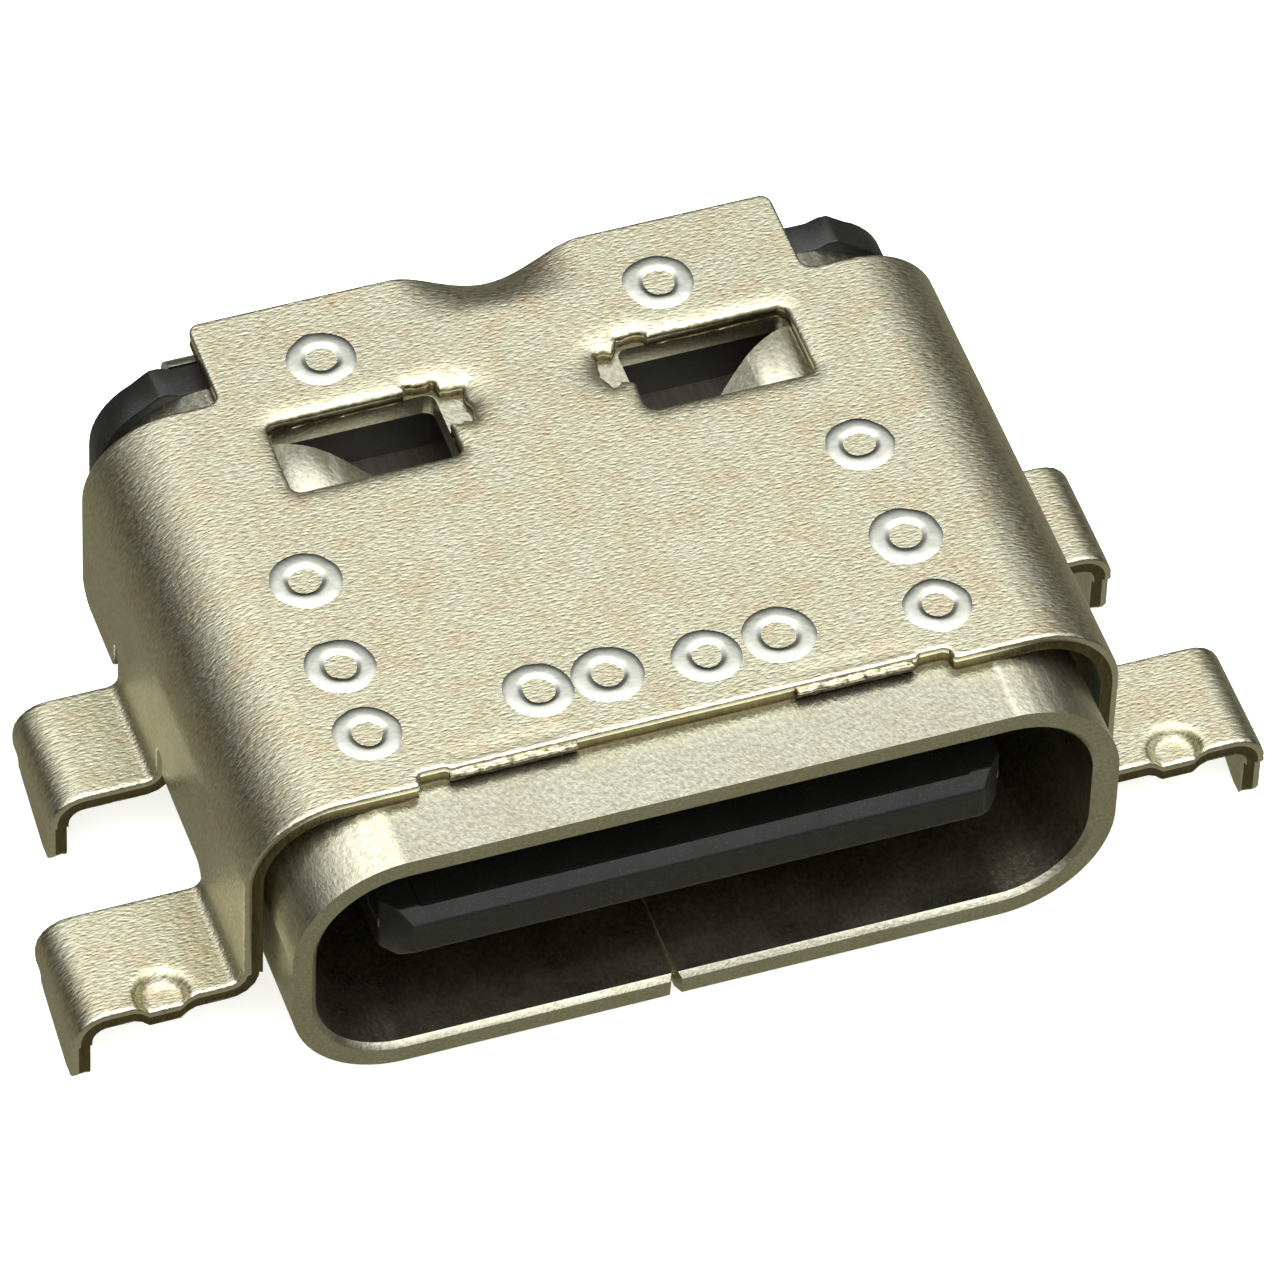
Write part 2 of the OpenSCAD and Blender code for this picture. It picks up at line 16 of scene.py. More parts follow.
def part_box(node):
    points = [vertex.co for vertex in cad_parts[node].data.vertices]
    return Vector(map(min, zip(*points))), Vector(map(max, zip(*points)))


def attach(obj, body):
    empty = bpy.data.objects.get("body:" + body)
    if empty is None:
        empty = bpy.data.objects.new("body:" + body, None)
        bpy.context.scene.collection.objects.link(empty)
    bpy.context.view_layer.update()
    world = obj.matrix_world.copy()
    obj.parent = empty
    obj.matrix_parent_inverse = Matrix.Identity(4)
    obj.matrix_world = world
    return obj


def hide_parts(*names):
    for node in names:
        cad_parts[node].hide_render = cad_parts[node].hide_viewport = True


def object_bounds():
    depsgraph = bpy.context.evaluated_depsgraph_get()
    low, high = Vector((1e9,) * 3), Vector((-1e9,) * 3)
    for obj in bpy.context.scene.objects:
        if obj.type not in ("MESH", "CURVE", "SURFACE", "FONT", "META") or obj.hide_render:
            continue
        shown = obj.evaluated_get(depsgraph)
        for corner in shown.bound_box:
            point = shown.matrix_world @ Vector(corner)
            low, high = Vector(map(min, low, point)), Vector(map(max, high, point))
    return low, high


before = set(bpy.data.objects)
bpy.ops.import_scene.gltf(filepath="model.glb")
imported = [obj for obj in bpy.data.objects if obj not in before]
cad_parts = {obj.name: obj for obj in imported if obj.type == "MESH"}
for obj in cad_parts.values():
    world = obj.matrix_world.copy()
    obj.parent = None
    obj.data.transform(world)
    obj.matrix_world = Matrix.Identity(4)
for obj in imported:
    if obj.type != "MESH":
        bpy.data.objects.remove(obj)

bl_info = {
    "name": "Cable Socket Looks",
    "version": (1, 0, 0),
    "blender": (4, 5, 0),
    "location": "3D View > Sidebar > Socket",
    "description": "Finishes the packed socket with plated sheet metal, moulding and contacts",
    "category": "Object",
}

MM = 0.001
CAD_BOX = [list(corner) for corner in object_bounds()]
FLOOR_Z = CAD_BOX[0][2]
CONTACTS = ["contact_" + row + str(i) for row in "ab" for i in range(1, 13)]
PLATES = ["mid_plate", "upper_ground_plate", "lower_ground_plate"]
INSULATORS = ["upper_insulator", "lower_insulator"]

# The folded shell in millimetres, as packed
SHELL_LOW, SHELL_HIGH = (Vector(corner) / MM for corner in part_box("outer_shell"))
SHEET = 0.20
LIP = 0.02
PLATE_TOP = SHELL_HIGH.z - LIP
SHELL_HALF = 4.70
FOLD_R, ROOT_R, KNEE_R = 1.00, 0.12, 0.37
STRAP_TOP = -0.80
FRONT_OUT, REAR_OUT = SHELL_HIGH.x, 5.85
FRONT_STRAP, REAR_STRAP, STRAP_W = 0.88, 3.75, 1.38
TAB_HALF, TAB_REAR = 3.20, SHELL_HIGH.y
WALL_REAR = 6.36
TUBE_TOP = 1.55
SCOOP_X, SCOOP_HALF = 0.05, 1.05
WELDS = (
    (-3.11, 3.74), (-3.13, 2.53), (-3.15, 1.59), (2.92, 3.83), (2.94, 2.49), (2.93, 1.50),
    (-1.32, 1.62), (-0.58, 1.61), (0.46, 1.55), (1.25, 1.60), (-2.01, 6.63), (1.68, 6.62),
)

# Where each part of the flat blank starts, measured across it from the middle of the plate
QUARTER = math.pi / 2
FOLD_AT = SHELL_HALF - FOLD_R
WALL_AT = FOLD_AT + (FOLD_R - SHEET / 2) * QUARTER
ROOT_AT = WALL_AT + (PLATE_TOP - FOLD_R) - (STRAP_TOP + ROOT_R)
STRAP_AT = ROOT_AT + (ROOT_R + SHEET / 2) * QUARTER
STOP_AT, STOP_Y = STRAP_AT + 0.801 - ROOT_R, FRONT_STRAP + 0.12


# ---------- sizes and colours ----------


class SocketFinish(bpy.types.PropertyGroup):
    """Colours and roughness of the finishes."""

    nickel: StringProperty(
        name="Shell nickel", description="Colour of the satin nickel on the outer shell", default="#C9C8AE"
    )
    nickel_warm: StringProperty(
        name="Warm patches", description="Colour of the warmer patches in the nickel", default="#C6B99B"
    )
    nickel_tube: StringProperty(
        name="Tube nickel", description="Colour of the matt nickel on the mouth tube", default="#D6D7C4"
    )
    bare_edge: StringProperty(
        name="Sheared edge", description="Colour of the steel where the sheet was sheared", default="#8A7F5E"
    )
    heat: StringProperty(
        name="Heat tint", description="Colour of the oxide that welding left", default="#A8813E"
    )
    bead: StringProperty(
        name="Weld bead", description="Colour of the fused nickel in a weld spot", default="#DADCD2"
    )
    moulding: StringProperty(
        name="Moulding", description="Colour of the black moulded plastic", default="#121211"
    )
    gold: StringProperty(
        name="Contact gold", description="Colour of the gilt on the contacts", default="#D9B36A"
    )
    paper: StringProperty(name="Floor", description="Colour of the paper floor", default="#F6F6F4")
    shell_roughness: FloatProperty(
        name="Shell roughness",
        description="How dull the outer shell is",
        default=0.34,
        min=0,
        max=1,
        subtype="FACTOR",
    )


class SocketSizes(bpy.types.PropertyGroup):
    """Sizes that the pieces are made with."""

    mesh_step: FloatProperty(
        name="Mesh step",
        description="Spacing of the points along the flat blank",
        default=0.085 * MM,
        min=0.05 * MM,
        max=0.3 * MM,
        subtype="DISTANCE",
        unit="LENGTH",
    )
    edge: FloatProperty(
        name="Sheet edge",
        description="How far a stamped edge is rounded",
        default=0.03 * MM,
        min=0,
        max=0.08 * MM,
        subtype="DISTANCE",
        unit="LENGTH",
    )
    draw_in: FloatProperty(
        name="Window draw-in",
        description="How far the punch drew the plate down at a window's rim",
        default=0.035 * MM,
        min=0,
        max=0.06 * MM,
        subtype="DISTANCE",
        unit="LENGTH",
    )
    draw_width: FloatProperty(
        name="Draw-in width",
        description="How far from the rim the plate starts to sink",
        default=0.19 * MM,
        min=0.05 * MM,
        max=0.4 * MM,
        subtype="DISTANCE",
        unit="LENGTH",
    )
    scoop: FloatProperty(
        name="Scoop depth",
        description="How far the middle of the tab's rear edge is pressed down",
        default=0.36 * MM,
        min=0,
        max=0.4 * MM,
        subtype="DISTANCE",
        unit="LENGTH",
    )
    stop: FloatProperty(
        name="Stop depth",
        description="How far the round stops in the front legs are pressed down",
        default=0.12 * MM,
        min=0,
        max=0.15 * MM,
        subtype="DISTANCE",
        unit="LENGTH",
    )
    bead: FloatProperty(
        name="Weld radius",
        description="Radius of a weld spot with the skirt that is sunk in the plate",
        default=0.415 * MM,
        min=0.2 * MM,
        max=0.45 * MM,
        subtype="DISTANCE",
        unit="LENGTH",
    )


class SocketStage(bpy.types.PropertyGroup):
    """Camera and lights."""

    azimuth: FloatProperty(
        name="Camera azimuth",
        description="How far the camera stands to the left of the mouth",
        default=math.radians(20.733),
        subtype="ANGLE",
        unit="ROTATION",
    )
    elevation: FloatProperty(
        name="Camera elevation",
        description="How far the camera looks down",
        default=math.radians(48.392),
        subtype="ANGLE",
        unit="ROTATION",
    )
    roll: FloatProperty(
        name="Camera roll",
        description="How far the camera leans about its own axis",
        default=math.radians(2.452),
        subtype="ANGLE",
        unit="ROTATION",
    )
    distance: FloatProperty(
        name="Camera distance",
        description="From the camera to the point it looks at",
        default=120.5 * MM,
        subtype="DISTANCE",
        unit="LENGTH",
    )
    aim: FloatVectorProperty(
        name="Camera aim",
        description="Point that the camera looks at",
        default=(-0.095 * MM, 2.017 * MM, 1.675 * MM),
        subtype="TRANSLATION",
        unit="LENGTH",
    )
    lens: FloatProperty(
        name="Camera lens",
        description="Focal length on a sensor 36 mm wide",
        default=333.6,
        min=10,
        max=1000,
        subtype="DISTANCE_CAMERA",
    )
    ceiling: FloatVectorProperty(
        name="Soft light",
        description="Direction of the middle of the large soft light",
        default=(0.0, -0.30, 0.95),
        subtype="DIRECTION",
    )


# ---------- helpers ----------


def linear(code):
    """The linear colour of an sRGB hex code."""
    parts = [int(code[i : i + 2], 16) / 255 for i in (1, 3, 5)]
    return tuple(c / 12.92 if c <= 0.04045 else ((c + 0.055) / 1.055) ** 2.4 for c in parts) + (1.0,)


def add(tree, kind, sockets=None, **settings):
    """Adds a node with its settings; each socket takes a value or a link from another node."""
    made = tree.nodes.new(kind)
    for name, value in settings.items():
        setattr(made, name, value)
    for key, value in (sockets or {}).items():
        if isinstance(value, bpy.types.NodeSocket):
            tree.links.new(value, made.inputs[key])
        else:
            made.inputs[key].default_value = value
    return made


def new_material(name):
    material = bpy.data.materials.new(name)
    material.use_nodes = True
    material.node_tree.nodes.clear()
    return material


def finish_with(obj, material):
    """Puts one material in every slot of a CAD node's object or of a piece."""
    if not obj.material_slots:
        obj.data.materials.append(material)
    for material_slot in obj.material_slots:
        material_slot.material = material


def new_piece(name, mesh):
    obj = bpy.data.objects.new(name, mesh)
    bpy.context.scene.collection.objects.link(obj)
    return obj


def joined_up(piece, nodes):
    """Says what the piece rides on and stands for."""
    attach(piece, "root")
    if nodes:
        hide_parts(*nodes)


def merged_copy(node, name):
    """A copy of a CAD node's mesh with its corners merged and its flat faces made whole."""
    mesh = bpy.data.meshes.new(name)
    bm = bmesh.new()
    bm.from_mesh(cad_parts[node].data)
    bmesh.ops.remove_doubles(bm, verts=bm.verts, dist=0.0005 * MM)
    bmesh.ops.dissolve_limit(
        bm,
        angle_limit=math.radians(0.8),
        verts=bm.verts,
        edges=bm.edges,
        use_dissolve_boundaries=False,
    )
    bm.to_mesh(mesh)
    bm.free()
    return new_piece(name, mesh)


def soften(piece, width, segments):
    """Rounds a merged copy's edges and keeps its flat faces flat."""
    for polygon in piece.data.polygons:
        polygon.use_smooth = True
    bevel = piece.modifiers.new("rounded edges", "BEVEL")
    bevel.width = width
    bevel.segments = segments
    bevel.limit_method = "ANGLE"
    bevel.angle_limit = math.radians(28)
    bevel.harden_normals = True
    weigh = piece.modifiers.new("flat faces first", "WEIGHTED_NORMAL")
    weigh.keep_sharp = True


def rounded(corners, step):
    """A closed outline through corners (across, along, radius), cut into short steps."""
    rough = []
    for i, (across, along, radius) in enumerate(corners):
        here = Vector((across, along))
        back = Vector(corners[i - 1][:2]) - here
        ahead = Vector(corners[(i + 1) % len(corners)][:2]) - here
        half = back.angle(ahead) / 2
        if radius <= 0 or half > 1.5:
            rough.append(here)
            continue
        reach = min(radius / math.tan(half), 0.48 * back.length, 0.48 * ahead.length)
        radius = reach * math.tan(half)
        start, end = here + back.normalized() * reach, here + ahead.normalized() * reach
        centre = here + (back.normalized() + ahead.normalized()).normalized() * (radius / math.sin(half))
        steps = max(2, round((math.pi - 2 * half) / math.radians(15)))
        for k in range(steps + 1):
            spoke = (start - centre).lerp(end - centre, k / steps)
            rough.append(centre + spoke.normalized() * radius)
    points = []
    for here, ahead in zip(rough, rough[1:] + rough[:1]):
        pieces = max(1, math.ceil((ahead - here).length / step))
        points += [here.lerp(ahead, k / pieces) for k in range(pieces)]
    return np.array(points)


def distance_to(points, loops):
    """How far each point is from the nearest of the closed outlines."""
    nearest = np.full(len(points), 1e9)
    for loop in loops:
        for a, b in zip(loop, np.roll(loop, -1, axis=0)):
            way = b - a
            share = np.clip(((points - a) @ way) / max(way @ way, 1e-12), 0, 1)
            gap = points - a - share[:, None] * way
            nearest = np.minimum(nearest, gap[:, 0] ** 2 + gap[:, 1] ** 2)
    return np.sqrt(nearest)


def inside(points, loops):
    """Which points lie inside the first outline and outside the rest."""
    odd = np.zeros(len(points), bool)
    for loop in loops:
        for (ax, ay), (bx, by) in zip(loop, np.roll(loop, -1, axis=0)):
            if ay != by:
                crosses = (points[:, 1] < ay) != (points[:, 1] < by)
                odd ^= crosses & (points[:, 0] < ax + (points[:, 1] - ay) * (bx - ax) / (by - ay))
    return odd


def inset(loop, distance):
    """The outline moved towards the metal, which lies on its left."""
    ahead = np.roll(loop, -1, axis=0) - loop
    ahead /= np.linalg.norm(ahead, axis=1)[:, None] + 1e-12
    side = np.column_stack((-ahead[:, 1], ahead[:, 0]))
    both = side + np.roll(side, 1, axis=0)
    both /= np.maximum(np.linalg.norm(both, axis=1)[:, None], 0.5)
    return loop + both * distance


# Where the three values of a jitter are read, in noise cells
JITTER_SHIFTS = ((0.31, -0.62, 0.87), (-0.54, 0.78, -0.23), (0.66, 0.12, -0.91))


def jitter(x, y, z):
    """Three smooth random values at a place, the same in each run."""
    return [noise.noise(Vector((x, y, z)) + Vector(shift)) for shift in JITTER_SHIFTS]


def smooth(share):
    share = np.clip(share, 0, 1)
    return share * share * (3 - 2 * share)


# ---------- the flat blank of the shell ----------


def leg_corners(strap_y, out):
    """Corners of one leg's pin on the blank, from its front shoulder to its rear one."""
    knee = STRAP_AT + (out - KNEE_R) - (SHELL_HALF + ROOT_R)
    pin = knee + (KNEE_R - SHEET / 2) * QUARTER
    low = pin + (STRAP_TOP - KNEE_R) - SHELL_LOW.z
    rear = strap_y + STRAP_W
    return [
        (pin + 0.07, strap_y, 0.06), (pin + 0.07, strap_y + 0.07, 0.04), (low - 0.10, strap_y + 0.07, 0.02),
        (low, strap_y + 0.13, 0.02), (low, strap_y + 0.29, 0.03), (low - 0.33, strap_y + 1.17, 0.04),
        (pin + 0.17, strap_y + 1.17, 0.06), (pin + 0.17, rear, 0.10),
    ]


def blank_half():
    """Corners of the right half of the blank, from the middle of the front to the middle of the rear."""
    edge = ROOT_AT - 0.13
    relief = edge - 0.25
    slot = REAR_STRAP - 0.14
    after = REAR_STRAP + STRAP_W
    corners = [
        (2.49, 0.90, 0.02), (2.54, 0.94, 0.05), (2.85, 0.94, 0.10), (2.85, 0.77, 0.04),
        (edge + 0.06, 0.77, 0.06), (edge + 0.06, FRONT_STRAP, 0.03),
    ]
    corners += leg_corners(FRONT_STRAP, FRONT_OUT)
    corners += [(edge, FRONT_STRAP + STRAP_W, 0.15), (edge, slot, 0.04), (relief, slot, 0.06)]
    corners += [(relief, REAR_STRAP, 0.06)] + leg_corners(REAR_STRAP, REAR_OUT)
    corners += [
        (relief, after, 0.06), (relief, after + 0.14, 0.06), (ROOT_AT, after + 0.14, 0.03),
        (ROOT_AT, WALL_REAR, 0.3), (TAB_HALF, WALL_REAR, 0.14), (TAB_HALF, TAB_REAR, 0.12),
    ]
    return corners


def window(side):
    """Corners of one window with its torn throat and the bump in its rear edge."""
    corners = [
        (2.85, 4.95, 0.12), (2.85, 5.96, 0.12), (1.33, 5.96, 0.03), (1.31, 6.04, 0.06),
        (1.0, 6.03, 0.05), (0.97, 5.93, 0.03), (0.72, 5.91, 0.06), (0.71, 5.40, 0.08),
        (1.0, 5.42, 0.05), (1.0, 4.95, 0.12),
    ]
    corners = [(side * across, along, radius) for across, along, radius in corners]
    return corners[::-1] if side > 0 else corners


def torn(loop):
    """Roughens an outline round the throat, where the punch tore the sheet."""
    for point in loop:
        near = max(0.0, 1 - abs(abs(point[0]) - 0.92) / 0.52) * min(1.0, max(0.0, (point[1] - 5.3) / 0.12))
        rough = jitter(point[0] * 11, point[1] * 11, 3.7)
        point += np.array(rough[:2]) * (0.006 + 0.07 * near)
    return loop


def blank_outlines(step):
    """The blank's outline, counter-clockwise, then its two windows, clockwise."""
    right = blank_half()
    left = [(-across, along, radius) for across, along, radius in reversed(right)]
    outline = rounded(right + left, step)
    shift = np.abs(outline[:, 0] - SCOOP_X) / SCOOP_HALF
    rear = outline[:, 1] > TAB_REAR - 0.01
    outline[:, 1] -= np.where(rear, 0.10 * (1 - smooth(shift)), 0)
    return [outline] + [torn(rounded(window(side), step * 0.5)) for side in (-1, 1)]


def folded(across, along, depth):
    """Where places on the blank lie in the folded shell, at a depth into its sheet."""
    far, side = np.abs(across), np.sign(across)
    out = np.where(along < 3.0, FRONT_OUT, REAR_OUT)
    knee_at = STRAP_AT + (out - KNEE_R) - (SHELL_HALF + ROOT_R)
    pin_at = knee_at + (KNEE_R - SHEET / 2) * QUARTER
    fold = np.clip((far - FOLD_AT) / (FOLD_R - SHEET / 2), 0, QUARTER)
    root = np.clip((far - ROOT_AT) / (ROOT_R + SHEET / 2), 0, QUARTER)
    knee = np.clip((far - knee_at) / (KNEE_R - SHEET / 2), 0, QUARTER)
    x = np.minimum(far, FOLD_AT) + FOLD_R * np.sin(fold)
    z = PLATE_TOP - FOLD_R * (1 - np.cos(fold)) - np.clip(far - WALL_AT, 0, ROOT_AT - WALL_AT)
    x += ROOT_R * (1 - np.cos(root)) + np.clip(far - STRAP_AT, 0, knee_at - STRAP_AT)
    z -= ROOT_R * np.sin(root)
    x += KNEE_R * np.sin(knee)
    z -= KNEE_R * (1 - np.cos(knee)) + np.maximum(far - pin_at, 0)
    lean = fold - root + knee
    x -= depth * np.sin(lean)
    z -= depth * np.cos(lean)
    return np.column_stack((side * x, along, z))


def pressed(across, along, sizes):
    """How far forming moved both faces of the sheet: the tab's scoop and the legs' stops."""
    shift = np.abs(across - SCOOP_X) / SCOOP_HALF
    to_rear = np.clip((along - (TAB_REAR - 0.72)) / 0.72, 0, 1)
    scoop = sizes.scoop / MM * (1 - smooth(shift)) * to_rear**1.6
    leg = np.hypot(np.abs(across) - STOP_AT, along - STOP_Y)
    stop = sizes.stop / MM * (1 - smooth((leg - 0.20) / 0.12))
    return np.where(along > 6, scoop, 0) + np.where(along < 3, stop, 0)


def drawn_in(across, along, to_window, to_edge, sizes):
    """How far wear and punching lowered the outer face alone."""
    rim = sizes.draw_in / MM * (1 - np.clip(to_window / (sizes.draw_width / MM), 0, 1)) ** 2
    throat = 0.075 * np.exp(-(((np.abs(across) - 0.86) / 0.30) ** 2) - ((along - 5.72) / 0.26) ** 2)
    corner = sizes.edge / MM
    near = np.clip(1 - to_edge / corner, 0, 1)
    burnish = corner * (1 - np.sqrt(1 - near**2 * 0.96))
    coined = 0.012 * np.exp(-(((along - 1.03) / 0.07) ** 2)) * smooth((0.72 - np.abs(np.abs(across) - 1.85)) / 0.2)
    return np.where(to_window < 1, rim + throat, 0) + burnish + coined


def shell_mesh(name, sizes):
    """The shell as one sheet: cut flat, pressed, then folded, with sheared edges of their own."""
    step, edge = sizes.mesh_step / MM, sizes.edge / MM
    loops = blank_outlines(step)
    bends = [
        np.linspace(0, FOLD_AT, 44), np.linspace(FOLD_AT, WALL_AT, 27), np.linspace(WALL_AT, ROOT_AT, 17),
        np.linspace(ROOT_AT, STRAP_AT, 9), np.linspace(STRAP_AT, STRAP_AT + 0.66, 9),
        np.linspace(STRAP_AT + 0.66, STRAP_AT + 1.29, 13), np.linspace(STRAP_AT + 1.29, STRAP_AT + 1.71, 11),
        np.linspace(STRAP_AT + 1.71, STRAP_AT + 2.35, 8),
    ]
    lines = np.unique(np.round(np.concatenate(bends), 5))
    lines = np.concatenate((-lines[::-1], lines[1:]))
    grid = np.stack(np.meshgrid(lines, np.arange(0.8, TAB_REAR, step)), axis=-1).reshape(-1, 2)
    grid = grid[inside(grid, loops)]
    stops = np.hypot(np.abs(grid[:, 0]) - STOP_AT, grid[:, 1] - STOP_Y)
    free = (distance_to(grid, loops[:1]) > 2.4 * edge) & (distance_to(grid, loops[1:]) > 0.2) & (stops > 0.36)
    extra = [inset(loops[0], edge * share) for share in (0.35, 1.0, 1.9)]
    extra += [inset(loop, gap) for loop in loops[1:] for gap in (0.012, 0.035, 0.07, 0.115, 0.165)]
    turn = np.linspace(0, 2 * math.pi, 28, endpoint=False)
    circle = np.column_stack((np.cos(turn), np.sin(turn)))
    for side in (-1, 1):
        centre = np.array((side * STOP_AT, STOP_Y))
        extra += [centre + radius * circle for radius in (0.10, 0.20, 0.23, 0.26, 0.29, 0.33)]
    extra = np.concatenate(extra)
    extra = extra[inside(extra, loops)]
    extra = extra[distance_to(extra, loops) > 0.2 * edge]
    flat = np.concatenate(loops + [grid[free], extra])
    rims, first = [], 0
    for loop in loops:
        rims += [(first + k, first + (k + 1) % len(loop)) for k in range(len(loop))]
        first += len(loop)
    points, _, faces, _, _, _ = delaunay_2d_cdt([Vector(p) for p in flat], rims, [], 0, 1e-7)
    flat = np.array([tuple(p) for p in points])
    faces = np.array([f for f in faces if len(f) == 3])
    faces = faces[inside(flat[faces].mean(axis=1), loops)]
    count = len(flat)

    across, along = flat[:, 0], flat[:, 1]
    to_window = distance_to(flat, loops[1:])
    to_edge = np.minimum(distance_to(flat, loops[:1]), to_window)
    press = pressed(across, along, sizes)
    wave = np.array([noise.noise(Vector((a * 0.9, b * 0.9, 0))) for a, b in flat])
    outer = press + drawn_in(across, along, to_window, to_edge, sizes) + 0.004 * np.maximum(wave, 0)
    verts = [folded(across, along, outer), folded(across, along, SHEET + press)]
    blank = [flat, flat]

    sides = np.concatenate((faces[:, [0, 1]], faces[:, [1, 2]], faces[:, [2, 0]]))
    keys = {(int(a), int(b)) for a, b in sides}
    rim = [(a, b) for a, b in sorted(keys) if (b, a) not in keys]
    ahead, behind = dict(rim), {b: a for a, b in rim}
    ring = sorted(ahead)
    place = {a: k for k, a in enumerate(ring)}
    spots = np.array(ring)
    way = flat[[ahead[a] for a in ring]] - flat[[behind[a] for a in ring]]
    way /= np.linalg.norm(way, axis=1)[:, None] + 1e-12
    inward = np.column_stack((-way[:, 1], way[:, 0]))
    rows = [spots]
    for share, back in ((0.30, 0.0), (0.36, 0.006), (0.80, 0.012), (0.97, 0.004)):
        grit = np.array([noise.noise(Vector((a * 14, b * 14, share * 5))) for a, b in flat[ring]])
        moved = flat[ring] + inward * (back * (1 + 0.8 * grit))[:, None]
        deep = outer[spots] * (1 - share) + (SHEET + press[spots]) * share
        verts.append(folded(moved[:, 0], moved[:, 1], deep + (0.012 * grit if back else 0)))
        blank.append(moved)
        rows.append(2 * count + len(ring) * (len(rows) - 1) + np.arange(len(ring)))
    rows.append(spots + count)
    quads = []
    for upper, lower in zip(rows, rows[1:]):
        quads += [(upper[place[b]], upper[place[a]], lower[place[a]], lower[place[b]]) for a, b in rim]

    verts, blank = np.concatenate(verts) * MM, np.concatenate(blank)
    triangles = np.concatenate((faces, faces[:, ::-1] + count)).tolist()
    mesh = bpy.data.meshes.new(name)
    mesh.from_pydata(verts.tolist(), [], triangles + [[int(i) for i in quad] for quad in quads])
    cut = np.zeros(len(triangles) + len(quads), np.int32)
    cut[len(triangles) + len(rim) :] = 1
    mesh.polygons.foreach_set("material_index", cut)
    mesh.polygons.foreach_set("use_smooth", np.ones(len(cut), bool))
    corner = np.empty(len(mesh.loops), np.int32)
    mesh.loops.foreach_get("vertex_index", corner)
    mesh.uv_layers.new(name="blank_mm").data.foreach_set("uv", blank[corner].astype(np.float32).ravel())
    to_window = distance_to(blank, loops[1:])
    to_edge = np.minimum(distance_to(blank, loops[:1]), to_window)
    x, y = blank[:, 0], blank[:, 1]
    layers = {
        # Along the edges the shell is painted lighter, a painted highlight, and rubbed smoother.
        "worn_edge_and_highlight": np.exp(-to_edge / 0.05) * (to_window > 0.02),
        # Round the throat of each window the plate is painted browner.
        "throat_browning": np.exp(-(((np.abs(x) - 0.84) / 0.26) ** 2) - ((y - 5.70) / 0.26) ** 2),
        "heat": sum(np.exp(-(((x - a) / 0.16) ** 2) - ((y - b) / 0.28) ** 2) for a, b in ((-3.50, 3.66), (-3.52, 2.46))),
    }
    for layer, values in layers.items():
        made = mesh.attributes.new(layer, "FLOAT", "POINT")
        made.data.foreach_set("value", np.clip(values, 0, 1).astype(np.float32))
    mesh.validate()
    return mesh


# ---------- materials ----------


